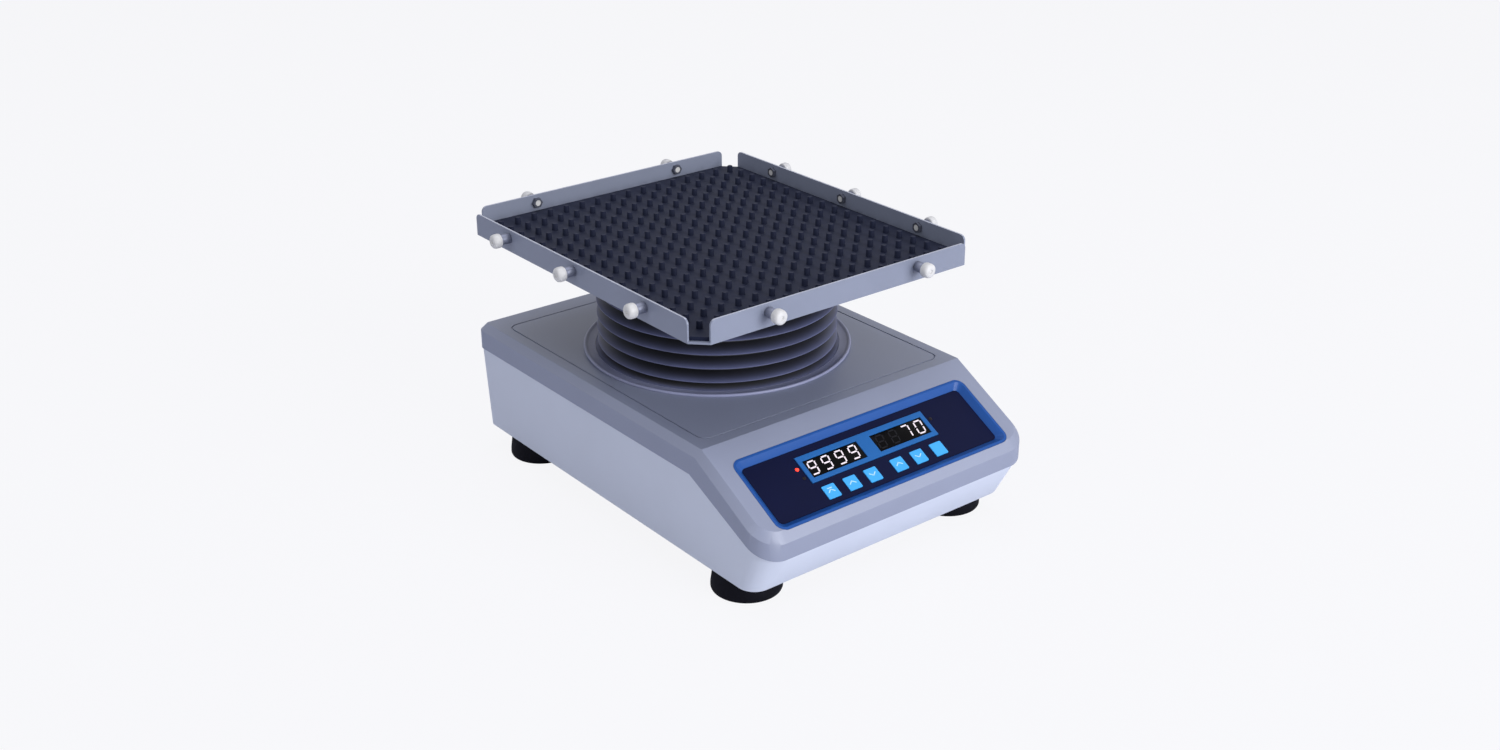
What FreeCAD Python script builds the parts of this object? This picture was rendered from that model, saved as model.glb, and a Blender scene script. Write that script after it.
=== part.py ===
import FreeCAD, Part
import math
import os
import Sketcher

# Bench top rocking shaker. Millimetres, +Z up, front towards -Y.
# The origin lies on the bench plane, midway between the side walls of the base
# and midway between the nose and the heads of the rear strap posts.

V = FreeCAD.Vector
doc = FreeCAD.newDocument("rocking_shaker")

# Sizes
SIZES = (
    # upper housing, the cover
    ("cover_width", 262.0), ("cover_back", 181.4), ("nose_reach", 193.6),
    ("fold_reach", 117.6), ("cover_top", 110.6), ("nose_top", 69.6),
    ("nose_bottom", 51.0), ("seam_height", 89.6), ("seam_reach", 109.6),
    ("cover_wall", 4.0), ("edge_bevel", 5.5), ("nose_corner", 20.0),
    ("back_corner", 8.0), ("opening_radius", 80.0),
    ("groove_wide", 1.2), ("groove_deep", 0.8), ("groove_side", 116.5),
    ("groove_front", 107.6), ("groove_back", 157.4), ("groove_corner", 9.0),
    # lower housing, the tub
    ("side_step", 1.0), ("nose_step", 0.5), ("back_step", 0.5),
    ("tub_bottom", 17.6), ("tub_front", 173.5), ("tub_taper", 4.0),
    ("tub_corner", 14.0), ("tub_wall", 3.5), ("boss_radius", 6.0), ("boss_top", 60.0),
    ("boss_side", 112.0), ("boss_front", 98.6), ("boss_back", 155.4),
    ("case_screw_radius", 2.0), ("case_head_radius", 3.6), ("case_head_deep", 2.6),
    ("case_screw_bite", 12.0),
    # feet
    ("foot_radius", 26.5), ("foot_top_radius", 24.5), ("foot_edge", 1.5),
    ("foot_side", 100.7), ("foot_front", 136.6), ("foot_back", 138.4),
    ("foot_recess_radius", 7.0), ("foot_recess_deep", 6.0),
    ("foot_screw_radius", 2.5), ("foot_head_radius", 5.0), ("foot_head_deep", 3.2),
    ("foot_nut_deep", 4.0), ("foot_nut_radius", 4.6),
    # control panel, measured down the slope from the fold
    ("panel_width", 226.0), ("panel_upper", 17.0), ("panel_lower", 81.8),
    ("panel_corner", 8.0), ("panel_floor_corner", 4.0), ("panel_lip", 2.2),
    ("panel_draft", 6.6), ("panel_deep", 4.0), ("panel_fit", 0.2),
    ("panel_flange", 3.5), ("panel_short", 1.7), ("panel_plate", 2.0), ("skin", 0.8),
    ("bezel_width", 124.0), ("bezel_upper", 30.2), ("bezel_lower", 54.0),
    ("bezel_proud", 0.6), ("window_width", 51.5), ("window_tall", 15.4),
    ("window_across", 32.25), ("window_down", 42.5), ("display_deep", 9.0),
    ("glass_sunk", 0.4),
    ("key_size", 11.5), ("key_down", 65.1), ("key_first", 12.8),
    ("key_pitch", 19.95), ("key_fit", 0.15), ("key_proud", 0.5),
    ("key_skirt", 1.0), ("key_skirt_deep", 0.8), ("key_slack", 0.2),
    ("key_stem_radius", 1.5), ("key_stem", 2.5), ("key_edge", 0.8),
    ("lamp_across", 65.6), ("lamp_down", 39.4), ("lamp_radius", 1.5),
    ("lamp_fit", 0.1), ("lamp_proud", 0.6),
    ("board_down", 10.0), ("board_thick", 1.6), ("board_width", 196.0),
    ("board_upper", 26.0), ("board_lower", 75.0), ("spacer_across", 90.0),
    ("spacer_inset", 8.0), ("board_spacer_radius", 3.0),
    ("button_radius", 1.75), ("button_gap", 0.8), ("button_tall", 0.6),
    ("button_case", 6.0),
    # rocking gear
    ("rock_along", 27.1), ("rock_height", 160.0), ("shaft_radius", 6.0),
    ("shaft_half", 68.0), ("shaft_fit", 0.02), ("bearing_radius", 14.0),
    ("bearing_wide", 8.0), ("bearing_along", 60.0), ("bearing_lip", 2.0),
    ("chassis_thick", 3.0), ("chassis_width", 168.0), ("chassis_front", 70.0),
    ("chassis_back", 140.0), ("pedestal_thick", 8.0), ("pedestal_head", 20.0),
    ("pedestal_half", 42.0), ("pedestal_foot", 26.0), ("pedestal_sole", 6.0),
    ("pedestal_leg", 15.0), ("pedestal_bridge", 26.0),
    ("yoke_arm", 10.0), ("yoke_along", 26.0), ("yoke_eye", 13.0),
    ("yoke_width", 112.0), ("yoke_length", 88.0), ("yoke_plate", 6.0),
    ("plate_thick", 4.2), ("plate_radius", 96.0),
    ("gear_module", 1.5), ("sector_teeth", 80.0), ("sector_shown", 9.0),
    ("pinion_teeth", 18.0), ("gear_slack", 0.16), ("sector_wide", 8.0),
    ("pinion_wide", 12.0), ("sector_hub", 14.0), ("sector_rim", 9.0),
    ("motor_shaft_radius", 3.0), ("motor_size", 56.4), ("motor_length", 41.0),
    ("motor_corner", 5.0), ("motor_pilot_radius", 19.0), ("motor_pilot", 1.6),
    ("motor_hole", 23.5), ("motor_gap", 8.0), ("bracket_thick", 4.0),
    ("bracket_foot", 38.0), ("motor_screw_radius", 2.0), ("motor_head", 4.0),
    # bellows
    ("bellows_rim", 96.0), ("bellows_valley", 84.0), ("bellows_wall", 1.2),
    ("bellows_rims", 7.0), ("bellows_flange", 97.2), ("bellows_gap", 0.3),
    ("ring_radius", 106.8), ("ring_thick", 1.8), ("ring_round", 0.8),
    # tray and mat
    ("tray_width", 265.0), ("tray_length", 302.0), ("tray_base", 191.2),
    ("tray_tall", 18.0), ("tray_sheet", 1.5), ("tray_cut", 11.4),
    ("tray_corner", 4.5), ("mat_gap", 0.5), ("mat_thick", 3.0),
    ("mat_margin", 12.0), ("nub_pitch", 15.4), ("nub_size", 2.6),
    ("nub_top_size", 2.2), ("nub_tall", 5.6), ("tray_screw_radius", 2.5),
    ("tray_head_radius", 4.5), ("tray_head", 2.2), ("tray_head_room", 0.5),
    ("mat_pocket", 2.5),
    # strap posts
    ("post_pitch", 90.0), ("post_across", 70.7), ("post_up", 11.3),
    ("post_radius", 2.5), ("spacer_radius", 4.0), ("spacer_length", 8.5),
    ("head_radius", 5.6), ("head_length", 7.0), ("head_round", 2.2),
    ("head_dimple", 1.6), ("head_dimple_deep", 1.0), ("nut_radius", 4.4),
    ("nut_thick", 3.0), ("post_fit", 0.02),
    # back wall
    ("inlet_across", 62.0), ("inlet_up", 52.0), ("inlet_width", 50.0),
    ("inlet_tall", 26.0), ("inlet_flange", 2.6), ("inlet_body_width", 28.0),
    ("inlet_body_tall", 21.0), ("inlet_body_deep", 22.0), ("inlet_wall", 1.8),
    ("inlet_well", 17.0), ("pin_wide", 4.0), ("pin_thick", 2.0),
    ("pin_long", 13.0), ("pin_pitch", 7.0), ("pin_rise", 2.0),
    ("switch_across", 22.0), ("switch_width", 18.0), ("switch_tall", 24.0),
    ("switch_flange", 1.6), ("switch_wall", 1.3), ("switch_well_width", 12.6),
    ("switch_well_tall", 18.8), ("switch_deep", 20.0), ("switch_well", 9.5),
    ("rocker_half", 8.5), ("rocker_thick", 4.0), ("rocker_front", 2.6),
    ("rocker_dip", 1.4), ("rocker_tilt", 7.0), ("rocker_slack", 0.3),
    ("rocker_pin", 1.0), ("rocker_pin_long", 0.9), ("cut_fit", 0.2),
    # power supply
    ("supply_width", 46.0), ("supply_length", 92.0), ("supply_across", 18.0),
    ("supply_up", 6.0), ("supply_board", 1.6), ("supply_screw", 2.5),
    ("transformer", 26.0), ("transformer_tall", 22.0), ("capacitor_radius", 8.0),
    ("capacitor_tall", 20.0),
)

sheet = doc.addObject("Spreadsheet::Sheet", "sizes")
for row, (alias, value) in enumerate(SIZES, start=1):
    sheet.set("A%d" % row, alias)
    sheet.set("B%d" % row, "%g" % value)
    sheet.setAlias("B%d" % row, alias)
doc.recompute()


# Helpers
def num(expression):
    """Value of an expression over the sheet, in millimetres or degrees."""
    value = sheet.evalExpression(str(expression))
    return float(getattr(value, "Value", value))


def size(alias):
    """One cell of the sheet."""
    return float(sheet.get(alias))


def expr(text):
    """Write every alias in the text as a cell of the sheet."""
    words = []
    word = ""
    for mark in str(text) + " ":
        if mark.isalnum() or mark in "_.":
            word += mark
            continue
        words.append("sizes." + word if word in NAMES else word)
        words.append(mark)
        word = ""
    return "".join(words).strip()


NAMES = {alias for alias, value in SIZES}
SLOPE = "atan((cover_top - nose_top) / (nose_reach - fold_reach))"
LEAN = "atan((tub_nose - tub_front) / (nose_bottom - tub_bottom))".replace(
    "tub_nose", "(nose_reach - nose_step)")


def bind(item, prop, text):
    """Tie a property to an expression over the sheet."""
    item.setExpression(prop, expr(text))


def place(item, x="0", y="0", z="0", rotation=None):
    """Put an object at a point whose coordinates follow the sheet."""
    base = V(num(expr(x)), num(expr(y)), num(expr(z)))
    item.Placement = FreeCAD.Placement(base, rotation or FreeCAD.Rotation())
    for axis, text in zip("xyz", (x, y, z)):
        bind(item, "Placement.Base." + axis, text)
    return item


def place_on_slope(item, x="0", down="0", up="0"):
    """Put an object in the frame of the sloping front.

    x runs to the right, local -Y down the slope and local +Z out of it.
    """
    y = "-fold_reach - (%s) * cos(%s) - (%s) * sin(%s)" % (down, SLOPE, up, SLOPE)
    z = "cover_top - (%s) * sin(%s) + (%s) * cos(%s)" % (down, SLOPE, up, SLOPE)
    place(item, x, y, z, FreeCAD.Rotation(V(1, 0, 0), num(expr(SLOPE))))
    bind(item, "Placement.Rotation.Angle", SLOPE)
    return item


def new_body(name):
    """An empty PartDesign body."""
    body = doc.addObject("PartDesign::Body", name)
    body.Label = name
    return body


def new_sketch(body, name, plane="XY", lift="0"):
    """A sketch on one of the body's own origin planes, lifted off it."""
    sketch = body.newObject("Sketcher::SketchObject", name)
    for feature in body.Origin.OriginFeatures:
        if feature.Role == plane + "_Plane":
            sketch.AttachmentSupport = [(feature, "")]
    sketch.MapMode = "FlatFace"
    bind(sketch, "AttachmentOffset.Base.z", lift)
    return sketch


def hold(sketch, geometry, end, x, y):
    """Tie one end of a sketch element to a point that follows the sheet."""
    for kind, text in (("DistanceX", x), ("DistanceY", y)):
        value = num(expr(text))
        rule = Sketcher.Constraint(kind, -1, 1, geometry, end, value)
        index = sketch.addConstraint(rule)
        bind(sketch, "Constraints[%d]" % index, text)


def draw_lines(sketch, points):
    """Closed outline of straight lines through the points."""
    first = sketch.GeometryCount
    flat = [V(num(expr(x)), num(expr(y)), 0) for x, y in points]
    count = len(flat)
    for i in range(count):
        sketch.addGeometry(Part.LineSegment(flat[i], flat[(i + 1) % count]), False)
    for i in range(count):
        after = first + (i + 1) % count
        sketch.addConstraint(Sketcher.Constraint("Coincident", first + i, 2, after, 1))
    for i, (x, y) in enumerate(points):
        hold(sketch, first + i, 1, x, y)


def draw_circle(sketch, x, y, radius):
    """Circle whose centre and radius follow the sheet."""
    middle = V(num(expr(x)), num(expr(y)), 0)
    circle = Part.Circle(middle, V(0, 0, 1), num(expr(radius)))
    index = sketch.addGeometry(circle, False)
    hold(sketch, index, 3, x, y)
    rule = sketch.addConstraint(
        Sketcher.Constraint("Radius", index, num(expr(radius))))
    bind(sketch, "Constraints[%d]" % rule, radius)


def draw_round_box(sketch, x0, x1, y0, y1, low_radius, high_radius):
    """Rectangle with rounded corners, one radius at y0 and one at y1."""
    first = sketch.GeometryCount
    corners = (
        (x1, "-", y0, "+", low_radius, 270.0),
        (x1, "-", y1, "-", high_radius, 0.0),
        (x0, "+", y1, "-", high_radius, 90.0),
        (x0, "+", y0, "+", low_radius, 180.0),
    )
    ends = []
    for index, (x, sx, y, sy, radius, start) in enumerate(corners):
        cx = "(%s) %s (%s)" % (x, sx, radius)
        cy = "(%s) %s (%s)" % (y, sy, radius)
        along = ((cx, y), (x, cy)) if index % 2 == 0 else ((x, cy), (cx, y))
        ends.append(along)
        middle = V(num(expr(cx)), num(expr(cy)), 0)
        circle = Part.Circle(middle, V(0, 0, 1), num(expr(radius)))
        turn = (math.radians(start), math.radians(start + 90.0))
        sketch.addGeometry(Part.ArcOfCircle(circle, *turn), False)
    for index in range(4):
        a = ends[index][1]
        b = ends[(index + 1) % 4][0]
        p = V(num(expr(a[0])), num(expr(a[1])), 0)
        q = V(num(expr(b[0])), num(expr(b[1])), 0)
        line = sketch.addGeometry(Part.LineSegment(p, q), False)
        after = first + (index + 1) % 4
        sketch.addConstraint(Sketcher.Constraint("Coincident", first + index, 2, line, 1))
        sketch.addConstraint(Sketcher.Constraint("Coincident", line, 2, after, 1))
        hold(sketch, line, 1, *a)
        hold(sketch, line, 2, *b)
    for index, corner in enumerate(corners):
        radius = corner[4]
        rule = sketch.addConstraint(
            Sketcher.Constraint("Radius", first + index, num(expr(radius))))
        bind(sketch, "Constraints[%d]" % rule, radius)


def pad(body, sketch, length, midplane=False, back=False):
    """Raise a sketch into the body."""
    feature = body.newObject("PartDesign::Pad", sketch.Name + "_pad")
    feature.Profile = sketch
    bind(feature, "Length", length)
    feature.SideType = "Symmetric" if midplane else "One side"
    feature.Reversed = back
    sketch.Visibility = False
    return feature


def pocket(body, sketch, length=None, back=False, midplane=False):
    """Cut a sketch out of the body, right through when no length is given."""
    feature = body.newObject("PartDesign::Pocket", sketch.Name + "_pocket")
    feature.Profile = sketch
    feature.SideType = "Symmetric" if midplane else "One side"
    if length is None:
        feature.Type = "ThroughAll"
    else:
        bind(feature, "Length", length)
    feature.Reversed = back
    sketch.Visibility = False
    return feature


def revolve(body, sketch, axis="V_Axis"):
    """Turn a sketch a full circle about one of its own axes."""
    feature = body.newObject("PartDesign::Revolution", sketch.Name + "_turn")
    feature.Profile = sketch
    feature.ReferenceAxis = (sketch, [axis])
    feature.Angle = 360.0
    sketch.Visibility = False
    return feature


def loft(body, sketches, kind="PartDesign::AdditiveLoft"):
    """Straight walls from sketch to sketch."""
    feature = body.newObject(kind, sketches[0].Name + "_loft")
    feature.Profile = sketches[0]
    feature.Sections = sketches[1:]
    feature.Ruled = True
    for sketch in sketches:
        sketch.Visibility = False
    return feature


def edges_where(feature, test):
    """Names of the edges of a feature whose middle point passes a test."""
    doc.recompute()
    names = []
    for index, edge in enumerate(feature.Shape.Edges, start=1):
        middle = edge.valueAt((edge.FirstParameter + edge.LastParameter) / 2.0)
        if test(edge, middle):
            names.append("Edge%d" % index)
    return names


def soften(body, kind, name, feature, test, amount):
    """Chamfer or fillet the edges that pass the test."""
    names = edges_where(feature, test)
    trim = body.newObject("PartDesign::" + kind, name)
    trim.Base = (feature, names)
    bind(trim, "Size" if kind == "Chamfer" else "Radius", amount)
    return trim


def cylinder(name, radius, height, x="0", y="0", z="0", axis="Z"):
    """Cylinder from a point along an axis."""
    item = doc.addObject("Part::Cylinder", name)
    bind(item, "Radius", radius)
    bind(item, "Height", height)
    turns = {
        "Z": FreeCAD.Rotation(),
        "Y": FreeCAD.Rotation(V(1, 0, 0), -90),
        "X": FreeCAD.Rotation(V(0, 1, 0), 90),
    }
    return place(item, x, y, z, turns[axis])


def box(name, length, width, height, x="0", y="0", z="0"):
    """Box from its lowest corner."""
    item = doc.addObject("Part::Box", name)
    bind(item, "Length", length)
    bind(item, "Width", width)
    bind(item, "Height", height)
    return place(item, x, y, z)


def cut(name, base, tool):
    """Base less tool."""
    item = doc.addObject("Part::Cut", name)
    item.Base = base
    item.Tool = tool
    return item


def fuse(name, items):
    """One solid of several."""
    item = doc.addObject("Part::MultiFuse", name)
    item.Shapes = items
    return item


def group(name, items):
    """Separate solids that share one node."""
    item = doc.addObject("Part::Compound", name)
    item.Links = items
    return item


def copies(name, master, placements):
    """Separate copies of a master shape, each at a placement."""
    doc.recompute()
    shapes = []
    for placement in placements:
        shape = master.Shape.copy()
        shape.Placement = placement.multiply(shape.Placement)
        shapes.append(shape)
    item = doc.addObject("Part::Feature", name)
    item.Shape = Part.makeCompound(shapes)
    return item


NODES = []


def node(item, name):
    """Name a finished sub-part."""
    item.Label = name
    NODES.append(item)
    return item


# Cover
def cover_form(name, inset, low, drop):
    """Outer form of the cover, or its core when inset by the wall."""
    body = new_body(name)
    plan = new_sketch(body, name + "_plan", "XY", low)
    half = "cover_width / 2 - %s" % inset
    draw_round_box(
        plan, "-(%s)" % half, half,
        "-nose_reach + %s" % inset, "cover_back - %s" % inset,
        "nose_corner - %s" % inset, "back_corner - %s" % inset)
    pad(body, plan, "cover_top - %s - (%s)" % (inset, low))
    side = new_sketch(body, name + "_side", "YZ")
    fold = ("-fold_reach + %s * tan(%s / 2)" % (inset, SLOPE), "cover_top - %s" % inset)
    reach = "nose_reach + 20"
    far = (
        "-(%s)" % reach,
        "nose_top - %s / cos(%s) - 20 * tan(%s)" % (inset, SLOPE, SLOPE))
    draw_lines(side, [
        fold, far, ("-(%s)" % reach, "cover_top + 30"), (fold[0], "cover_top + 30")])
    last = pocket(body, side, midplane=True)
    if drop:
        under = new_sketch(body, name + "_seam", "YZ")
        draw_lines(under, [
            ("cover_back + 20", "seam_height"),
            ("-seam_reach", "seam_height"),
            ("-nose_reach", "nose_bottom"),
            ("-(%s)" % reach, "nose_bottom"),
            ("-(%s)" % reach, "(%s) - 20" % low),
            ("cover_back + 20", "(%s) - 20" % low)])
        last = pocket(body, under, midplane=True)
    slope = math.radians(num(expr(SLOPE)))
    deep = num(expr(inset))
    top = size("cover_top") - deep
    fold_y = num(expr(fold[0]))

    def on_roof(edge, middle):
        """True on the border of the flat top and of the slope, not on the fold."""
        flat = abs(middle.z - top) < 0.01
        line = top + (middle.y - fold_y) * math.tan(slope)
        sloping = middle.y < fold_y and abs(middle.z - line) < 0.01
        crease = flat and abs(middle.y - fold_y) < 0.01 and abs(middle.x) < 1.0
        return (flat or sloping) and not crease

    soften(body, "Chamfer", name + "_bevel", last, on_roof,
           "edge_bevel - %s * (2 - sqrt(2))" % inset)
    return body


cover_outer = cover_form("cover_outer", "0", "0", True)
cover_core = cover_form("cover_core", "cover_wall", "-10", False)
shell = cut("cover_shell", cover_outer, cover_core)

# Screw bosses stand under the roof and take the screws from the tub.
bosses = []
pilots = []
for tag, sign in (("left", "-"), ("right", "")):
    for end, along in (("front", "-boss_front"), ("rear", "boss_back")):
        key = "%s_%s" % (tag, end)
        bosses.append(cylinder(
            "cover_boss_" + key, "boss_radius", "cover_top - cover_wall / 2 - boss_top",
            sign + "boss_side", along, "boss_top"))
        pilots.append(cylinder(
            "cover_pilot_" + key, "case_screw_radius", "case_screw_bite + 2",
            sign + "boss_side", along, "boss_top - 0.01"))

# Round mouth for the rocking gear, under the bellows.
pilots.append(cylinder(
    "cover_mouth", "opening_radius", "cover_wall * 3", "0", "rock_along",
    "cover_top - cover_wall * 2"))

# Opening in the slope for the control panel.
panel_hole = new_body("panel_hole")
sketch = new_sketch(panel_hole, "panel_hole_plan", "XY", "-cover_wall * 2")
draw_round_box(
    sketch, "-panel_width / 2", "panel_width / 2", "-panel_lower", "-panel_upper",
    "panel_corner", "panel_corner")
pad(panel_hole, sketch, "cover_wall * 4")
place_on_slope(panel_hole)
pilots.append(panel_hole)

# Embossed line on the flat top.
groove = new_body("groove")
sketch = new_sketch(groove, "groove_plan", "XY", "cover_top - groove_deep")
draw_round_box(
    sketch, "-groove_side", "groove_side", "-groove_front", "groove_back",
    "groove_corner", "groove_corner")
draw_round_box(
    sketch, "-groove_side + groove_wide", "groove_side - groove_wide",
    "-groove_front + groove_wide", "groove_back - groove_wide",
    "groove_corner - groove_wide", "groove_corner - groove_wide")
pad(groove, sketch, "groove_deep * 2")
pilots.append(groove)

cover_solid = fuse("cover_solid", [shell] + bosses)
cover_tools = fuse("cover_tools", pilots)
node(cut("upper_housing", cover_solid, cover_tools), "upper_housing")

# Tub
TUB_TOP_HALF = "(cover_width / 2 - side_step)"
TUB_LOW_HALF = "(cover_width / 2 - side_step - tub_taper)"
TUB_RISE = "((nose_bottom - tub_bottom) / (seam_height - tub_bottom))"
TUB_MID_HALF = "(%s + tub_taper * %s)" % (TUB_LOW_HALF, TUB_RISE)
TUB_NOSE = "(nose_reach - nose_step)"
TUB_BACK = "(cover_back - back_step)"

tub = new_body("lower_housing")
sections = []
for tag, half, front, level, corner in (
        ("low", TUB_LOW_HALF, "tub_front", "tub_bottom", "tub_corner"),
        ("mid", TUB_MID_HALF, TUB_NOSE, "nose_bottom", "(nose_corner - nose_step)"),
        ("top", TUB_TOP_HALF, TUB_NOSE, "seam_height", "(nose_corner - nose_step)")):
    sketch = new_sketch(tub, "tub_" + tag, "XY", level)
    draw_round_box(
        sketch, "-" + half, half, "-" + front, TUB_BACK,
        corner, "back_corner - back_step")
    sections.append(sketch)
loft(tub, sections)
sections = []
SLANT = "tub_wall * (1 - sin(%s)) / cos(%s)" % (LEAN, LEAN)
DEEP_NOSE = "%s - tub_wall / cos(%s)" % (TUB_NOSE, LEAN)
for tag, half, front, level, corner in (
        ("low", TUB_LOW_HALF, "tub_front - %s" % SLANT, "tub_bottom + tub_wall", "tub_corner"),
        ("mid", TUB_MID_HALF, DEEP_NOSE, "nose_bottom", "(nose_corner - nose_step)"),
        ("top", TUB_TOP_HALF, DEEP_NOSE, "seam_height", "(nose_corner - nose_step)")):
    sketch = new_sketch(tub, "well_" + tag, "XY", level)
    draw_round_box(
        sketch, "-(%s - tub_wall)" % half, "%s - tub_wall" % half,
        "-(%s)" % front, "%s - tub_wall" % TUB_BACK,
        "%s - tub_wall" % corner, "back_corner - back_step - tub_wall")
    sections.append(sketch)
loft(tub, sections, "PartDesign::SubtractiveLoft")
# Bosses for the cover screws, their heads sunk from below.
sketch = new_sketch(tub, "tub_bosses", "XY", "tub_bottom + tub_wall / 2")
for sign in ("-", ""):
    for along in ("-boss_front", "boss_back"):
        draw_circle(sketch, sign + "boss_side", along, "boss_radius")
pad(tub, sketch, "boss_top - tub_bottom - tub_wall / 2")
sketch = new_sketch(tub, "tub_bores", "XY", "tub_bottom")
for sign in ("-", ""):
    for along in ("-boss_front", "boss_back"):
        draw_circle(sketch, sign + "boss_side", along, "case_screw_radius + 0.2")
pocket(tub, sketch, back=True)
sketch = new_sketch(tub, "tub_sinks", "XY", "tub_bottom")
for sign in ("-", ""):
    for along in ("-boss_front", "boss_back"):
        draw_circle(sketch, sign + "boss_side", along, "case_head_radius + 0.4")
pocket(tub, sketch, "case_head_deep", back=True)
sketch = new_sketch(tub, "tub_foot_holes", "XY", "tub_bottom")
for sign in ("-", ""):
    for along in ("-foot_front", "foot_back"):
        draw_circle(sketch, sign + "foot_side", along, "foot_screw_radius")
pocket(tub, sketch, "tub_wall * 2", back=True)
# Everything above the seam goes.
sketch = new_sketch(tub, "tub_seam", "YZ")
draw_lines(sketch, [
    ("cover_back + 20", "seam_height"),
    ("-seam_reach", "seam_height"),
    ("-nose_reach", "nose_bottom"),
    ("-nose_reach - 20", "nose_bottom"),
    ("-nose_reach - 20", "seam_height + 20"),
    ("cover_back + 20", "seam_height + 20")])
pocket(tub, sketch, midplane=True)
# Cut-outs in the back wall for the inlet and the switch.
sketch = new_sketch(tub, "tub_back_holes", "XZ", "-(%s) - 5" % TUB_BACK)
draw_round_box(
    sketch, "inlet_across - inlet_body_width / 2 - cut_fit",
    "inlet_across + inlet_body_width / 2 + cut_fit",
    "inlet_up - inlet_body_tall / 2 - cut_fit",
    "inlet_up + inlet_body_tall / 2 + cut_fit", "1", "1")
wide = "(switch_well_width / 2 + switch_wall + cut_fit)"
tall = "(switch_well_tall / 2 + switch_wall + cut_fit)"
draw_lines(sketch, [
    ("switch_across - " + wide, "inlet_up - " + tall),
    ("switch_across + " + wide, "inlet_up - " + tall),
    ("switch_across + " + wide, "inlet_up + " + tall),
    ("switch_across - " + wide, "inlet_up + " + tall)])
pocket(tub, sketch, "tub_wall + 10", back=True)
node(tub, "lower_housing")

items = []
for tag, sign in (("left", "-"), ("right", "")):
    for end, along in (("front", "-boss_front"), ("rear", "boss_back")):
        key = "%s_%s" % (tag, end)
        head = cylinder(
            "case_head_" + key, "case_head_radius", "case_head_deep",
            sign + "boss_side", along, "tub_bottom")
        stem = cylinder(
            "case_stem_" + key, "case_screw_radius",
            "boss_top + case_screw_bite - tub_bottom",
            sign + "boss_side", along, "tub_bottom")
        items.append(fuse("case_screw_" + key, [head, stem]))
node(group("housing_screws", items), "housing_screws")

# Feet
feet = (
    ("front_left", "-foot_side", "-foot_front"),
    ("front_right", "foot_side", "-foot_front"),
    ("rear_left", "-foot_side", "foot_back"),
    ("rear_right", "foot_side", "foot_back"),
)
items = []
for tag, across, along in feet:
    body = new_body("rubber_foot_" + tag)
    sketch = new_sketch(body, "foot_profile_" + tag, "XZ")
    draw_lines(sketch, [
        ("foot_recess_radius", "0"),
        ("foot_radius - foot_edge", "0"),
        ("foot_radius", "foot_edge"),
        ("foot_top_radius", "tub_bottom"),
        ("foot_screw_radius", "tub_bottom"),
        ("foot_screw_radius", "foot_recess_deep"),
        ("foot_recess_radius", "foot_recess_deep")])
    revolve(body, sketch)
    place(body, across, along, "0")
    node(body, "rubber_foot_" + tag)
    head = cylinder(
        "foot_head_" + tag, "foot_head_radius", "foot_head_deep",
        across, along, "foot_recess_deep - foot_head_deep")
    stem = cylinder(
        "foot_stem_" + tag, "foot_screw_radius",
        "tub_bottom + tub_wall + foot_nut_deep - foot_recess_deep + foot_head_deep",
        across, along, "foot_recess_deep - foot_head_deep")
    nut = doc.addObject("Part::Prism", "foot_nut_" + tag)
    nut.Polygon = 6
    bind(nut, "Circumradius", "foot_nut_radius")
    bind(nut, "Height", "foot_nut_deep")
    place(nut, across, along, "tub_bottom + tub_wall")
    items.append(fuse("foot_screw_" + tag, [head, stem, nut]))
node(group("foot_screws", items), "foot_screws")

# Control panel
FLOOR = "(panel_deep + skin)"
BEHIND = "(panel_deep + skin + panel_plate)"
HALF_FLOOR = "(panel_width / 2 - panel_draft)"


def key_holes(sketch, spare):
    """One square hole for each key."""
    for name, across in KEYS:
        half = "(key_size / 2 + %s)" % spare
        draw_lines(sketch, [
            ("%s - %s" % (across, half), "-key_down - %s" % half),
            ("%s + %s" % (across, half), "-key_down - %s" % half),
            ("%s + %s" % (across, half), "-key_down + %s" % half),
            ("%s - %s" % (across, half), "-key_down + %s" % half)])


def window_holes(sketch, spare):
    """One rectangular hole for each display."""
    for side in ("-window_across", "window_across"):
        draw_lines(sketch, [
            ("%s - window_width / 2 - %s" % (side, spare),
             "-window_down - window_tall / 2 - %s" % spare),
            ("%s + window_width / 2 + %s" % (side, spare),
             "-window_down - window_tall / 2 - %s" % spare),
            ("%s + window_width / 2 + %s" % (side, spare),
             "-window_down + window_tall / 2 + %s" % spare),
            ("%s - window_width / 2 - %s" % (side, spare),
             "-window_down + window_tall / 2 + %s" % spare)])


KEYS = [
    ("key_%d" % (i + 1), "(%skey_first %s key_pitch * %d)" % (sign, sign or "+", step))
    for i, (sign, step) in enumerate(
        (("-", 2), ("-", 1), ("-", 0), ("", 0), ("", 1), ("", 2)))
]

frame = new_body("control_panel_frame")
sketch = new_sketch(frame, "frame_flange", "XY", "-" + BEHIND)
draw_round_box(
    sketch, "-(panel_width / 2 + panel_flange)", "panel_width / 2 + panel_flange",
    "-panel_lower + panel_short", "-panel_upper + panel_flange",
    "panel_corner + panel_flange", "panel_corner + panel_flange")
pad(frame, sketch, "%s - cover_wall" % BEHIND)
sketch = new_sketch(frame, "frame_collar", "XY", "-cover_wall")
draw_round_box(
    sketch, "-(panel_width / 2 - panel_fit)", "panel_width / 2 - panel_fit",
    "-panel_lower + panel_fit", "-panel_upper - panel_fit",
    "panel_corner - panel_fit", "panel_corner - panel_fit")
pad(frame, sketch, "cover_wall")
upper = new_sketch(frame, "frame_mouth", "XY", "0")
draw_round_box(
    upper, "-(panel_width / 2 - panel_lip)", "panel_width / 2 - panel_lip",
    "-panel_lower + panel_lip", "-panel_upper - panel_lip",
    "panel_corner - panel_lip", "panel_corner - panel_lip")
lower = new_sketch(frame, "frame_floor", "XY", "-panel_deep")
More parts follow.
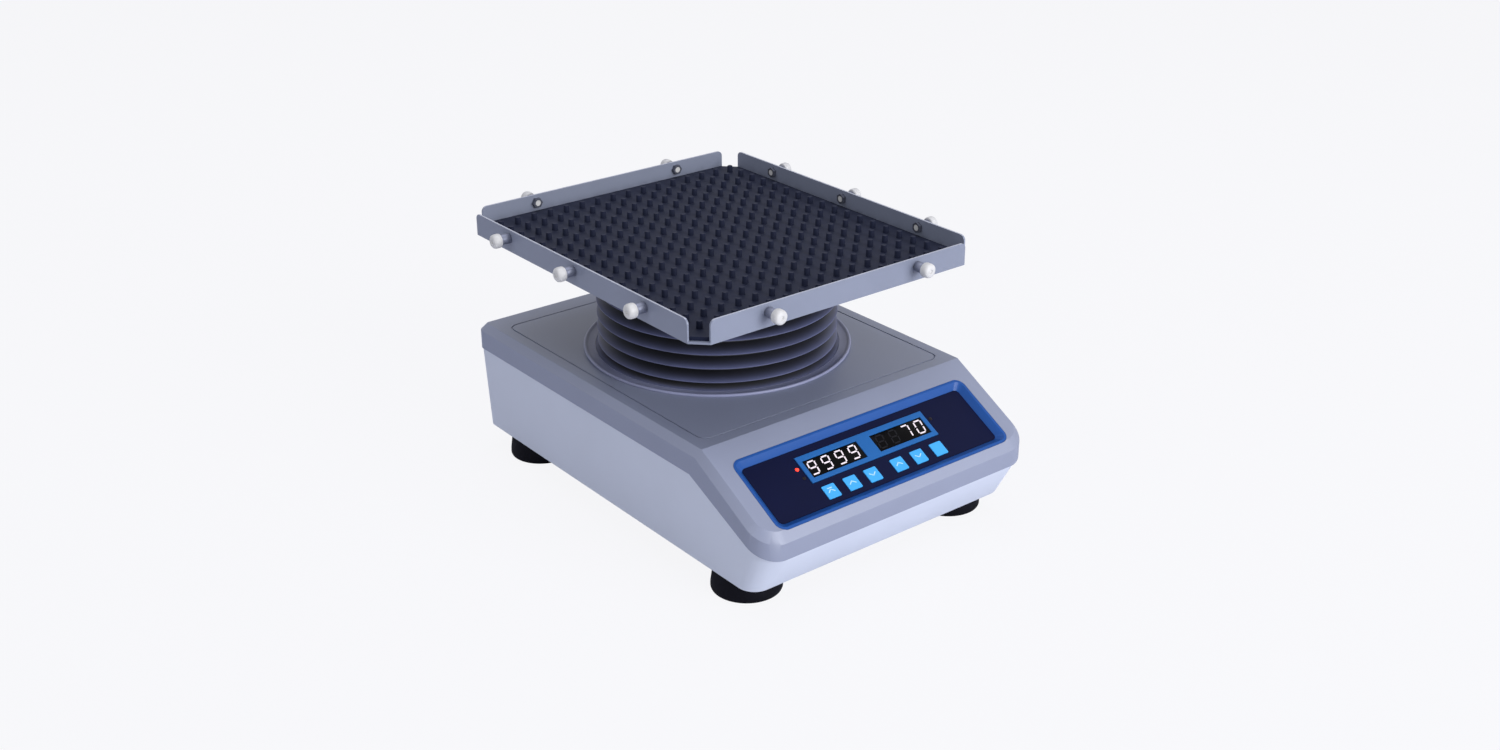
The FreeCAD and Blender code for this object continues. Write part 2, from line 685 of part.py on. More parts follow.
draw_round_box(
    lower, "-" + HALF_FLOOR, HALF_FLOOR,
    "-panel_lower + panel_draft", "-panel_upper - panel_draft",
    "panel_floor_corner", "panel_floor_corner")
loft(frame, [upper, lower], "PartDesign::SubtractiveLoft")
sketch = new_sketch(frame, "frame_seat", "XY", "-panel_deep")
draw_round_box(
    sketch, "-" + HALF_FLOOR, HALF_FLOOR,
    "-panel_lower + panel_draft", "-panel_upper - panel_draft",
    "panel_floor_corner", "panel_floor_corner")
pocket(frame, sketch, "skin")
sketch = new_sketch(frame, "frame_holes", "XY", "-" + FLOOR)
key_holes(sketch, "key_fit")
window_holes(sketch, "0")
for across in ("-lamp_across", "lamp_across"):
    draw_circle(sketch, across, "-lamp_down", "lamp_radius + lamp_fit")
pocket(frame, sketch, "panel_plate + 1")
node(place_on_slope(frame), "control_panel_frame")

membrane = new_body("panel_membrane")
sketch = new_sketch(membrane, "membrane_plan", "XY", "-" + FLOOR)
draw_round_box(
    sketch, "-(%s - panel_fit)" % HALF_FLOOR, "%s - panel_fit" % HALF_FLOOR,
    "-panel_lower + panel_draft + panel_fit", "-panel_upper - panel_draft - panel_fit",
    "panel_floor_corner - panel_fit", "panel_floor_corner - panel_fit")
draw_lines(sketch, [
    ("-bezel_width / 2 - panel_fit", "-bezel_lower - panel_fit"),
    ("bezel_width / 2 + panel_fit", "-bezel_lower - panel_fit"),
    ("bezel_width / 2 + panel_fit", "-bezel_upper + panel_fit"),
    ("-bezel_width / 2 - panel_fit", "-bezel_upper + panel_fit")])
key_holes(sketch, "key_fit")
for across in ("-lamp_across", "lamp_across"):
    draw_circle(sketch, across, "-lamp_down", "lamp_radius + lamp_fit")
pad(membrane, sketch, "skin")
node(place_on_slope(membrane), "panel_membrane")

bezel = new_body("display_bezel")
sketch = new_sketch(bezel, "bezel_plan", "XY", "-" + FLOOR)
draw_lines(sketch, [
    ("-bezel_width / 2", "-bezel_lower"), ("bezel_width / 2", "-bezel_lower"),
    ("bezel_width / 2", "-bezel_upper"), ("-bezel_width / 2", "-bezel_upper")])
window_holes(sketch, "0")
pad(bezel, sketch, "skin + bezel_proud")
node(place_on_slope(bezel), "display_bezel")

for name, side in (("time_display", "-window_across"), ("speed_display", "window_across")):
    body = new_body(name)
    sketch = new_sketch(body, name + "_plan", "XY", "-board_down - panel_deep - skin")
    draw_lines(sketch, [
        ("-window_width / 2 + panel_fit", "-window_tall / 2 + panel_fit"),
        ("window_width / 2 - panel_fit", "-window_tall / 2 + panel_fit"),
        ("window_width / 2 - panel_fit", "window_tall / 2 - panel_fit"),
        ("-window_width / 2 + panel_fit", "window_tall / 2 - panel_fit")])
    pad(body, sketch, "board_down + skin + bezel_proud - glass_sunk")
    node(place_on_slope(body, side, "window_down"), name)

for name, across in KEYS:
    body = new_body(name)
    half = "(key_size / 2 + key_skirt)"
    sketch = new_sketch(
        body, name + "_skirt", "XY", "-%s - key_slack - key_skirt_deep" % BEHIND)
    draw_lines(sketch, [
        ("-" + half, "-" + half), (half, "-" + half), (half, half), ("-" + half, half)])
    pad(body, sketch, "key_skirt_deep")
    sketch = new_sketch(body, name + "_cap", "XY", "-%s - key_slack" % BEHIND)
    half = "(key_size / 2)"
    draw_round_box(sketch, "-" + half, half, "-" + half, half, "key_edge", "key_edge")
    pad(body, sketch, "%s + key_slack - panel_deep + key_proud" % BEHIND)
    sketch = new_sketch(
        body, name + "_stem", "XY", "-%s - key_slack - key_skirt_deep" % BEHIND)
    draw_circle(sketch, "0", "0", "key_stem_radius")
    pad(body, sketch, "key_stem", back=True)
    node(place_on_slope(body, across, "key_down"), name)

BOARD_TOP = "(panel_deep + skin + board_down)"
board = new_body("control_board")
sketch = new_sketch(board, "board_plan", "XY", "-%s" % BOARD_TOP)
draw_lines(sketch, [
    ("-board_width / 2", "-board_lower"), ("board_width / 2", "-board_lower"),
    ("board_width / 2", "-board_upper"), ("-board_width / 2", "-board_upper")])
pad(board, sketch, "board_thick", back=True)
node(place_on_slope(board), "control_board")

items = []
for tag, across, down in (
        ("a", "-spacer_across", "board_upper + spacer_inset"),
        ("b", "spacer_across", "board_upper + spacer_inset"),
        ("c", "-spacer_across", "board_lower - spacer_inset"),
        ("d", "spacer_across", "board_lower - spacer_inset")):
    item = cylinder("board_spacer_" + tag, "board_spacer_radius",
                    "%s - %s" % (BOARD_TOP, BEHIND))
    items.append(place_on_slope(item, across, down, "-" + BOARD_TOP))
node(group("board_spacers", items), "board_spacers")

items = []
STEM_END = "(%s + key_slack + key_skirt_deep + key_stem)" % BEHIND
for name, across in KEYS:
    case = box(
        "button_case_" + name, "button_case", "button_case",
        "%s - %s - button_gap - button_tall" % (BOARD_TOP, STEM_END))
    place_on_slope(case, "%s - button_case / 2" % across,
                   "key_down + button_case / 2", "-" + BOARD_TOP)
    knob = cylinder(
        "button_" + name, "button_radius",
        "%s - %s - button_gap" % (BOARD_TOP, STEM_END))
    place_on_slope(knob, across, "key_down", "-" + BOARD_TOP)
    items.append(fuse("button_pair_" + name, [case, knob]))
node(group("key_switches", items), "key_switches")

for name, across in (("lamp_left", "-lamp_across"), ("lamp_right", "lamp_across")):
    body = new_body(name)
    sketch = new_sketch(body, name + "_profile", "XZ")
    draw_lines(sketch, [
        ("0", "-%s" % BOARD_TOP),
        ("lamp_radius", "-%s" % BOARD_TOP),
        ("lamp_radius", "-panel_deep"),
        ("lamp_radius * 0.7", "-panel_deep + lamp_proud * 0.7"),
        ("0", "-panel_deep + lamp_proud")])
    revolve(body, sketch)
    node(place_on_slope(body, across, "lamp_down"), name)

# Back wall
WALL_BACK = TUB_BACK
inlet = new_body("power_inlet")
sketch = new_sketch(inlet, "inlet_flange_plan", "XZ")
draw_round_box(
    sketch, "-inlet_width / 2", "inlet_width / 2", "-inlet_tall / 2", "inlet_tall / 2",
    "3", "3")
pad(inlet, sketch, "inlet_flange", back=True)
sketch = new_sketch(inlet, "inlet_body_plan", "XZ")
draw_round_box(
    sketch, "-inlet_body_width / 2", "inlet_body_width / 2",
    "-inlet_body_tall / 2", "inlet_body_tall / 2", "1", "1")
pad(inlet, sketch, "inlet_body_deep")
sketch = new_sketch(inlet, "inlet_well_plan", "XZ", "-inlet_flange")
wide = "(inlet_body_width / 2 - inlet_wall)"
tall = "(inlet_body_tall / 2 - inlet_wall)"
draw_lines(sketch, [
    ("-%s" % wide, "-%s" % tall), (wide, "-%s" % tall),
    (wide, "%s - 4" % tall), ("%s - 4" % wide, tall),
    ("-%s + 4" % wide, tall), ("-%s" % wide, "%s - 4" % tall)])
pocket(inlet, sketch, "inlet_flange + inlet_well", back=True)
sketch = new_sketch(inlet, "inlet_pins", "XZ", "inlet_well")
for across, up in (("-pin_pitch", "-pin_rise"), ("pin_pitch", "-pin_rise"), ("0", "pin_rise")):
    draw_lines(sketch, [
        ("%s - pin_thick / 2" % across, "%s - pin_wide / 2" % up),
        ("%s + pin_thick / 2" % across, "%s - pin_wide / 2" % up),
        ("%s + pin_thick / 2" % across, "%s + pin_wide / 2" % up),
        ("%s - pin_thick / 2" % across, "%s + pin_wide / 2" % up)])
pad(inlet, sketch, "pin_long", back=True)
node(place(inlet, "inlet_across", WALL_BACK, "inlet_up"), "power_inlet")

housing = new_body("power_switch_housing")
sketch = new_sketch(housing, "switch_flange_plan", "XZ")
draw_round_box(
    sketch, "-switch_width / 2", "switch_width / 2", "-switch_tall / 2", "switch_tall / 2",
    "1.5", "1.5")
pad(housing, sketch, "switch_flange", back=True)
sketch = new_sketch(housing, "switch_body_plan", "XZ")
wide = "(switch_well_width / 2 + switch_wall)"
tall = "(switch_well_tall / 2 + switch_wall)"
draw_lines(sketch, [
    ("-" + wide, "-" + tall), (wide, "-" + tall), (wide, tall), ("-" + wide, tall)])
pad(housing, sketch, "switch_deep")
sketch = new_sketch(housing, "switch_well_plan", "XZ", "-switch_flange")
wide = "(switch_well_width / 2)"
tall = "(switch_well_tall / 2)"
draw_lines(sketch, [
    ("-" + wide, "-" + tall), (wide, "-" + tall), (wide, tall), ("-" + wide, tall)])
pocket(housing, sketch, "switch_flange + switch_well", back=True)
sketch = new_sketch(housing, "switch_pin_holes", "YZ")
draw_circle(sketch, "0", "0", "rocker_pin + shaft_fit")
pocket(housing, sketch, "switch_well_width + switch_wall * 1.6", midplane=True)
node(place(housing, "switch_across", WALL_BACK, "inlet_up"), "power_switch_housing")

rocker = new_body("power_switch_rocker")
sketch = new_sketch(rocker, "rocker_side", "YZ")
draw_lines(sketch, [
    ("-rocker_thick", "-rocker_half * 0.6"),
    ("0", "-rocker_half"),
    ("rocker_front", "-rocker_half"),
    ("rocker_dip", "0"),
    ("rocker_front", "rocker_half"),
    ("0", "rocker_half"),
    ("-rocker_thick", "rocker_half * 0.6")])
pad(rocker, sketch, "switch_well_width - rocker_slack * 2", midplane=True)
sketch = new_sketch(rocker, "rocker_pins", "YZ")
draw_circle(sketch, "0", "0", "rocker_pin")
pad(rocker, sketch, "switch_well_width + rocker_pin_long * 2", midplane=True)
place(rocker, "switch_across", WALL_BACK, "inlet_up",
      FreeCAD.Rotation(V(1, 0, 0), size("rocker_tilt")))
bind(rocker, "Placement.Rotation.Angle", "rocker_tilt")
node(rocker, "power_switch_rocker")

# Chassis
CHASSIS_LOW = "(tub_bottom + tub_wall)"
CHASSIS_TOP = "(tub_bottom + tub_wall + chassis_thick)"
plate = box(
    "chassis_blank", "chassis_width", "chassis_front + chassis_back", "chassis_thick",
    "-chassis_width / 2", "rock_along - chassis_front", CHASSIS_LOW)
node(plate, "chassis_plate")

for name, sign, out in (("front", "-", -1), ("rear", "", 1)):
    body = new_body("pedestal_" + name)
    sketch = new_sketch(body, "pedestal_web_" + name, "XZ", "-pedestal_thick / 2")
    leg = "(rock_height - %s)" % CHASSIS_TOP
    draw_lines(sketch, [
        ("-pedestal_half", "-%s" % leg), ("pedestal_half", "-%s" % leg),
        ("pedestal_head", "0"), ("-pedestal_head", "0")])
    pad(body, sketch, "pedestal_thick")
    sketch = new_sketch(body, "pedestal_head_" + name, "XZ", "-pedestal_thick / 2")
    draw_circle(sketch, "0", "0", "pedestal_head")
    pad(body, sketch, "pedestal_thick")
    sketch = new_sketch(body, "pedestal_sole_" + name, "XY", "-%s" % leg)
    if out > 0:
        near, far = "-pedestal_thick / 2", "pedestal_foot - pedestal_thick / 2"
    else:
        near, far = "-pedestal_foot + pedestal_thick / 2", "pedestal_thick / 2"
    draw_lines(sketch, [
        ("-pedestal_half", near), ("pedestal_half", near),
        ("pedestal_half", far), ("-pedestal_half", far)])
    pad(body, sketch, "pedestal_sole")
    sketch = new_sketch(body, "pedestal_window_" + name, "XZ", "-pedestal_foot")
    draw_lines(sketch, [
        ("-pedestal_half + pedestal_leg", "-%s + pedestal_sole * 2" % leg),
        ("pedestal_half - pedestal_leg", "-%s + pedestal_sole * 2" % leg),
        ("(pedestal_half - pedestal_leg) * 0.45", "-pedestal_head - pedestal_bridge / 2"),
        ("-(pedestal_half - pedestal_leg) * 0.45", "-pedestal_head - pedestal_bridge / 2")])
    pocket(body, sketch, "pedestal_foot * 2", back=True)
    sketch = new_sketch(body, "pedestal_bore_" + name, "XZ", "-pedestal_thick")
    draw_circle(sketch, "0", "0", "bearing_radius")
    pocket(body, sketch, "pedestal_thick * 2", back=True)
    place(body, "0", "rock_along %s bearing_along" % (sign or "+"), "rock_height")
    node(body, "pedestal_" + name)
    body = new_body("bearing_" + name)
    sketch = new_sketch(body, "bearing_profile_" + name, "XY")
    draw_lines(sketch, [
        ("shaft_radius + shaft_fit", "-bearing_wide / 2"),
        ("bearing_radius", "-bearing_wide / 2"),
        ("bearing_radius", "bearing_wide / 2"),
        ("bearing_radius - bearing_lip", "bearing_wide / 2"),
        ("bearing_radius - bearing_lip - 0.5", "bearing_wide / 2 - 0.6"),
        ("shaft_radius + bearing_lip + 0.5", "bearing_wide / 2 - 0.6"),
        ("shaft_radius + bearing_lip", "bearing_wide / 2"),
        ("shaft_radius + shaft_fit", "bearing_wide / 2")])
    revolve(body, sketch)
    place(body, "0", "rock_along %s bearing_along" % (sign or "+"), "rock_height")
    node(body, "bearing_" + name)

# Rocking gear
node(cylinder("shaft_blank", "shaft_radius", "shaft_half * 2", "0",
              "rock_along - shaft_half", "rock_height", "Y"), "rocker_shaft")

YOKE_TOP = "(tray_base - plate_thick - rock_height)"
yoke = new_body("platform_yoke")
sketch = new_sketch(yoke, "yoke_plate_plan", "XY", "%s - yoke_plate" % YOKE_TOP)
draw_round_box(
    sketch, "-yoke_width / 2", "yoke_width / 2", "-yoke_length / 2", "yoke_length / 2",
    "8", "8")
pad(yoke, sketch, "yoke_plate")
for tag, middle in (("front", "yoke_along"), ("rear", "-yoke_along")):
    sketch = new_sketch(yoke, "yoke_arm_" + tag, "XZ", "%s - yoke_arm / 2" % middle)
    draw_lines(sketch, [
        ("-yoke_eye", "0"), ("yoke_eye", "0"),
        ("yoke_width / 2 - 12", "%s - yoke_plate" % YOKE_TOP),
        ("-yoke_width / 2 + 12", "%s - yoke_plate" % YOKE_TOP)])
    pad(yoke, sketch, "yoke_arm")
    sketch = new_sketch(yoke, "yoke_eye_" + tag, "XZ", "%s - yoke_arm / 2" % middle)
    draw_circle(sketch, "0", "0", "yoke_eye")
    pad(yoke, sketch, "yoke_arm")
sketch = new_sketch(yoke, "yoke_bore", "XZ", "-yoke_length / 2")
draw_circle(sketch, "0", "0", "shaft_radius")
pocket(yoke, sketch, "yoke_length", back=True)
sketch = new_sketch(yoke, "yoke_screw_holes", "XY", "%s - yoke_plate" % YOKE_TOP)
for across in ("-nub_pitch * 3", "nub_pitch * 3"):
    for along in ("-nub_pitch * 2", "nub_pitch * 2"):
        draw_circle(sketch, across, along, "tray_screw_radius")
pocket(yoke, sketch, back=True)
node(place(yoke, "0", "rock_along", "rock_height"), "platform_yoke")


def involute(angle, base):
    """Point on the involute of a base circle after unrolling by an angle."""
    return (base * math.hypot(1.0, angle), angle - math.atan(angle))


def tooth_half(module, teeth, slack, steps=4):
    """One side of a tooth as radius and angle from its middle, root to tip."""
    pitch = module * teeth / 2.0
    base = pitch * math.cos(math.radians(20.0))
    tip = pitch + module
    root = pitch - 1.25 * module
    roll = math.tan(math.radians(20.0))
    offset = math.pi / (2.0 * teeth) - slack / (2.0 * pitch) + roll - math.atan(roll)
    start = max(base, root)
    low = math.sqrt(max((start / base) ** 2 - 1.0, 0.0))
    high = math.sqrt((tip / base) ** 2 - 1.0)
    side = []
    if base > root:
        side.append((root, offset))
    for step in range(steps + 1):
        radius, turn = involute(low + (high - low) * step / steps, base)
        side.append((radius, offset - turn))
    return side


def tooth_ring(module, teeth, slack, first, last, middle):
    """Points of the teeth from one index to another, round a middle angle."""
    side = tooth_half(module, teeth, slack)
    points = []
    for index in range(first, last + 1):
        centre = middle + index * 2.0 * math.pi / teeth
        for radius, angle in side:
            points.append((radius, centre - angle))
        for radius, angle in reversed(side):
            points.append((radius, centre + angle))
    return [V(r * math.cos(a), 0, r * math.sin(a)) for r, a in points]


def flat_face(name, points):
    """Closed flat outline as an object that can be extruded."""
    item = doc.addObject("Part::Feature", name)
    item.Shape = Part.Face(Part.makePolygon(points + [points[0]]))
    return item


def thicken(name, face, wide):
    """Extrude an outline equally to both sides along Y."""
    item = doc.addObject("Part::Extrusion", name)
    item.Base = face
    item.DirMode = "Custom"
    item.Dir = V(0, 1, 0)
    item.Solid = True
    item.Symmetric = True
    bind(item, "LengthFwd", wide)
    return item


# Toothed sector on the rocker shaft: nine involute teeth under a webbed quadrant.
module = size("gear_module")
teeth = int(size("sector_teeth"))
shown = int(size("sector_shown")) // 2
outline = tooth_ring(module, teeth, size("gear_slack"), -shown, shown, -math.pi / 2)
hub = size("sector_hub")
arm = math.radians(28.0)
outline.append(V(hub * math.cos(-math.pi / 2 + arm), 0, hub * math.sin(-math.pi / 2 + arm)))
outline.append(V(hub * math.cos(-math.pi / 2 - arm), 0, hub * math.sin(-math.pi / 2 - arm)))
blade = thicken("sector_blade", flat_face("sector_outline", outline), "sector_wide")
boss = cylinder("sector_boss", "sector_hub", "sector_wide * 2",
                "0", "-sector_wide", "0", "Y")
bore = cylinder("sector_bore", "shaft_radius", "sector_wide * 3",
                "0", "-sector_wide * 1.5", "0", "Y")
window = new_body("sector_window")
sketch = new_sketch(window, "sector_window_plan", "XZ", "-sector_wide")
root = "(gear_module * (sector_teeth / 2 - 1.25))"
draw_lines(sketch, [
    ("-3", "-sector_hub - 4"), ("3", "-sector_hub - 4"),
    ("(%s - sector_rim) * 0.17" % root, "-(%s - sector_rim)" % root),
    ("-(%s - sector_rim) * 0.17" % root, "-(%s - sector_rim)" % root)])
pad(window, sketch, "sector_wide * 2")
sector = cut("sector_gear", fuse("sector_solid", [blade, boss]),
             fuse("sector_tools", [bore, window]))
node(place(sector, "0", "rock_along", "rock_height"), "sector_gear")

# Pinion in mesh under the sector, on the motor shaft.
DRIVE_HEIGHT = "(rock_height - gear_module * (sector_teeth + pinion_teeth) / 2)"
count = int(size("pinion_teeth"))
outline = tooth_ring(module, count, size("gear_slack"), 0, count - 1,
                     math.pi / 2 + math.pi / count)
wheel = thicken("pinion_wheel", flat_face("pinion_outline", outline), "pinion_wide")
bore = cylinder("pinion_bore", "motor_shaft_radius", "pinion_wide * 2",
                "0", "-pinion_wide", "0", "Y")
pinion = cut("drive_pinion", wheel, bore)
node(place(pinion, "0", "rock_along", DRIVE_HEIGHT), "drive_pinion")
node(cylinder(
    "motor_shaft_blank", "motor_shaft_radius",
    "pinion_wide / 2 + motor_gap - pinion_wide / 2 + bracket_thick + pinion_wide / 2",
    "0", "rock_along - pinion_wide / 2", DRIVE_HEIGHT, "Y"), "motor_shaft")

BRACKET_AT = "(rock_along + motor_gap)"
bracket = new_body("motor_bracket")
sketch = new_sketch(bracket, "bracket_wall", "XZ")
low = "(%s - %s)" % (DRIVE_HEIGHT, CHASSIS_TOP)
half = "(motor_size / 2 + 2)"
draw_lines(sketch, [
    ("-" + half, "-" + low), (half, "-" + low), (half, "motor_size / 2 - 6"),
    ("%s - 8" % half, "motor_size / 2 + 2"), ("-%s + 8" % half, "motor_size / 2 + 2"),
    ("-" + half, "motor_size / 2 - 6")])
pad(bracket, sketch, "bracket_thick", back=True)
sketch = new_sketch(bracket, "bracket_base", "XY", "-" + low)
draw_lines(sketch, [
    ("-" + half, "0"), (half, "0"), (half, "bracket_foot"), ("-" + half, "bracket_foot")])
pad(bracket, sketch, "bracket_thick")
sketch = new_sketch(bracket, "bracket_pilot", "XZ", "-bracket_thick - 1")
draw_circle(sketch, "0", "0", "motor_pilot_radius")
for across in ("-motor_hole", "motor_hole"):
    for up in ("-motor_hole", "motor_hole"):
        draw_circle(sketch, across, up, "motor_screw_radius")
pocket(bracket, sketch, "bracket_thick + 2", back=True)
node(place(bracket, "0", BRACKET_AT, DRIVE_HEIGHT), "motor_bracket")

motor = new_body("drive_motor")
sketch = new_sketch(motor, "motor_plan", "XZ")
half = "(motor_size / 2)"
draw_round_box(sketch, "-" + half, half, "-" + half, half, "motor_corner", "motor_corner")
pad(motor, sketch, "motor_length", back=True)
sketch = new_sketch(motor, "motor_pilot_plan", "XZ")
draw_circle(sketch, "0", "0", "motor_pilot_radius - shaft_fit")
draw_circle(sketch, "0", "0", "motor_shaft_radius + shaft_fit")
pad(motor, sketch, "motor_pilot")
sketch = new_sketch(motor, "motor_relief", "XZ", "-9")
half = "(motor_size / 2)"
for sx in ("-", ""):
    for sz in ("-", ""):
        draw_lines(sketch, [
            ("%s(%s - 7)" % (sx, half), "%s(%s + 1)" % (sz, half)),
            ("%s(%s + 1)" % (sx, half), "%s(%s + 1)" % (sz, half)),
            ("%s(%s + 1)" % (sx, half), "%s(%s - 7)" % (sz, half))])
pocket(motor, sketch, "motor_length - 18")
node(place(motor, "0", "%s + bracket_thick" % BRACKET_AT, DRIVE_HEIGHT), "drive_motor")

items = []
for tag, across, up in (("a", "-", "-"), ("b", "-", "+"), ("c", "", "-"), ("d", "", "+")):
    level = "%s %s motor_hole" % (DRIVE_HEIGHT, up)
    stem = cylinder("motor_screw_stem_" + tag, "motor_screw_radius", "bracket_thick",
                    across + "motor_hole", BRACKET_AT, level, "Y")
    head = cylinder("motor_screw_head_" + tag, "motor_screw_radius * 1.8",
                    "motor_screw_radius * 1.2", across + "motor_hole",
                    "%s - motor_screw_radius * 1.2" % BRACKET_AT, level, "Y")
    items.append(fuse("motor_screw_" + tag, [stem, head]))
node(group("motor_screws", items), "motor_screws")

# Power supply on its own board, on four short pillars of the chassis plate.
SUPPLY_FRONT = "(rock_along + chassis_back - supply_width - 4)"
parts = [box(
    "supply_board_blank", "supply_length", "supply_width", "supply_board",
    "supply_across - supply_length / 2", SUPPLY_FRONT, "%s + supply_up" % CHASSIS_TOP)]
for tag, across in (("a", "-"), ("b", "+")):
    for end, along in (("c", "6"), ("d", "supply_width - 6")):
        parts.append(cylinder(
            "supply_pillar_" + tag + end, "supply_screw", "supply_up + 0.2",
            "supply_across %s (supply_length / 2 - 6)" % across,
            "%s + %s" % (SUPPLY_FRONT, along), CHASSIS_TOP))
parts.append(box(
    "supply_transformer", "transformer", "transformer", "transformer_tall",
    "supply_across - transformer / 2", "%s + supply_width / 2 - transformer / 2" % SUPPLY_FRONT,
    "%s + supply_up + supply_board - 0.1" % CHASSIS_TOP))
for tag, across in (("a", "-"), ("b", "+")):
    parts.append(cylinder(
        "supply_capacitor_" + tag, "capacitor_radius", "capacitor_tall",
        "supply_across %s supply_length / 3" % across,
        "%s + supply_width / 2" % SUPPLY_FRONT,
        "%s + supply_up + supply_board - 0.1" % CHASSIS_TOP))
node(fuse("power_supply", parts), "power_supply")

# Bellows
count = int(size("bellows_rims"))
rise = "((tray_base - plate_thick - bellows_gap - bellows_wall"
rise += " - cover_top - bellows_wall) / (bellows_rims - 0.5))"
half_rise = "(%s / 2)" % rise
fold_deep = "(bellows_rim - bellows_valley)"
thick = "(bellows_wall * sqrt(%s ^ 2 + %s ^ 2) / %s)" % (fold_deep, half_rise, half_rise)
foot = "(cover_top + bellows_wall)"
outside = []
inside = []
for step in range(2 * count):
    radius = "bellows_rim" if step % 2 else "bellows_valley"
    level = "%s + %s * %d" % (foot, half_rise, step)
    outside.append((radius, level))
    inside.append(("%s - %s" % (radius, thick), level))
top = "(tray_base - plate_thick - bellows_gap)"
profile = [("bellows_flange", "cover_top"), ("bellows_flange", foot)]
profile += outside
profile += [("bellows_rim", top), ("bellows_valley - %s" % thick, top),
            ("bellows_valley - %s" % thick, "%s - bellows_wall" % top)]
profile += list(reversed(inside))
profile += [("bellows_valley - %s" % thick, "cover_top")]
bellows = new_body("bellows")
sketch = new_sketch(bellows, "bellows_profile", "XZ")
draw_lines(sketch, profile)
revolve(bellows, sketch)
node(place(bellows, "0", "rock_along", "0"), "bellows")

ring = new_body("bellows_ring")
sketch = new_sketch(ring, "ring_profile", "XZ")
draw_lines(sketch, [
    ("bellows_flange + bellows_gap", "cover_top"), ("ring_radius", "cover_top"),
    ("ring_radius", "cover_top + ring_thick - ring_round"),
    ("ring_radius - ring_round", "cover_top + ring_thick"),
    ("bellows_flange + bellows_gap", "%s" % foot)])
revolve(ring, sketch)
node(place(ring, "0", "rock_along", "0"), "bellows_ring")

# Platform
disc = cylinder("platform_disc", "plate_radius", "plate_thick",
                "0", "rock_along", "tray_base - plate_thick")
drills = []
for i, across in enumerate(("-nub_pitch * 3", "nub_pitch * 3")):
    for j, along in enumerate(("-nub_pitch * 2", "nub_pitch * 2")):
        drills.append(cylinder(
            "platform_drill_%d%d" % (i, j), "tray_screw_radius", "plate_thick * 3",
            across, "rock_along + (%s)" % along, "tray_base - plate_thick * 2"))
node(cut("platform_plate", disc, fuse("platform_drills", drills)), "platform_plate")

# Tray of folded sheet: a floor with cut corners and four upright walls.
tray = new_body("tray")
sketch = new_sketch(tray, "tray_floor", "XY")
X = "(tray_width / 2)"
Y = "(tray_length / 2)"
draw_lines(sketch, [
    ("-%s + tray_cut" % X, "-" + Y), ("%s - tray_cut" % X, "-" + Y),
    (X, "-%s + tray_cut" % Y), (X, "%s - tray_cut" % Y),
    ("%s - tray_cut" % X, Y), ("-%s + tray_cut" % X, Y),
    ("-" + X, "%s - tray_cut" % Y), ("-" + X, "-%s + tray_cut" % Y)])
pad(tray, sketch, "tray_sheet")
for tag, plane, reach, half in (
        ("right", "YZ", "%s - tray_sheet" % X, "%s - tray_cut" % Y),
        ("left", "YZ", "-%s" % X, "%s - tray_cut" % Y),
        ("front", "XZ", "%s - tray_sheet" % Y, "%s - tray_cut" % X),
        ("rear", "XZ", "-%s" % Y, "%s - tray_cut" % X)):
    sketch = new_sketch(tray, "tray_wall_" + tag, plane, reach)
    draw_round_box(
        sketch, "-(%s)" % half, half, "0", "tray_tall", "tray_sheet / 2", "tray_corner")
    pad(tray, sketch, "tray_sheet")
for tag, plane, spots in (
        ("side", "YZ", ("-post_pitch", "0", "post_pitch")),
        ("end", "XZ", ("-post_across", "post_across"))):
    sketch = new_sketch(tray, "tray_holes_" + tag, plane)
    for along in spots:
        draw_circle(sketch, along, "post_up", "post_radius + post_fit")
    pocket(tray, sketch, midplane=True)
sketch = new_sketch(tray, "tray_screw_holes", "XY")
for across in ("-nub_pitch * 3", "nub_pitch * 3"):
    for along in ("-nub_pitch * 2", "nub_pitch * 2"):
        draw_circle(sketch, across, along, "tray_screw_radius")
pocket(tray, sketch, "tray_sheet * 2", back=True)
node(place(tray, "0", "rock_along", "tray_base"), "tray")

items = []
for i, across in enumerate(("-nub_pitch * 3", "nub_pitch * 3")):
    for j, along in enumerate(("-nub_pitch * 2", "nub_pitch * 2")):
        head = cylinder(
            "tray_screw_head_%d%d" % (i, j), "tray_head_radius", "tray_head",
            across, "rock_along + (%s)" % along, "tray_base + tray_sheet")
        stem = cylinder(
            "tray_screw_stem_%d%d" % (i, j), "tray_screw_radius",
            "tray_sheet + plate_thick + yoke_plate",
            across, "rock_along + (%s)" % along, "tray_base - plate_thick - yoke_plate")
        items.append(fuse("tray_screw_%d%d" % (i, j), [head, stem]))
node(group("tray_screws", items), "tray_screws")

# Dimpled mat: one sheet with a field of six sided nubs.
MAT_X = "(tray_width / 2 - tray_sheet - mat_gap)"
MAT_Y = "(tray_length / 2 - tray_sheet - mat_gap)"
mat_body = new_body("mat_sheet")
sketch = new_sketch(mat_body, "mat_plan", "XY")
draw_lines(sketch, [
    ("-%s + tray_cut" % MAT_X, "-" + MAT_Y), ("%s - tray_cut" % MAT_X, "-" + MAT_Y),
    (MAT_X, "-%s + tray_cut" % MAT_Y), (MAT_X, "%s - tray_cut" % MAT_Y),
    ("%s - tray_cut" % MAT_X, MAT_Y), ("-%s + tray_cut" % MAT_X, MAT_Y),
    ("-" + MAT_X, "%s - tray_cut" % MAT_Y), ("-" + MAT_X, "-%s + tray_cut" % MAT_Y)])
pad(mat_body, sketch, "mat_thick")
sketch = new_sketch(mat_body, "mat_pockets", "XY")
for across in ("-nub_pitch * 3", "nub_pitch * 3"):
    for along in ("-nub_pitch * 2", "nub_pitch * 2"):
        draw_circle(sketch, across, along, "tray_head_radius + tray_head_room")
pocket(mat_body, sketch, "mat_pocket", back=True)
doc.recompute()


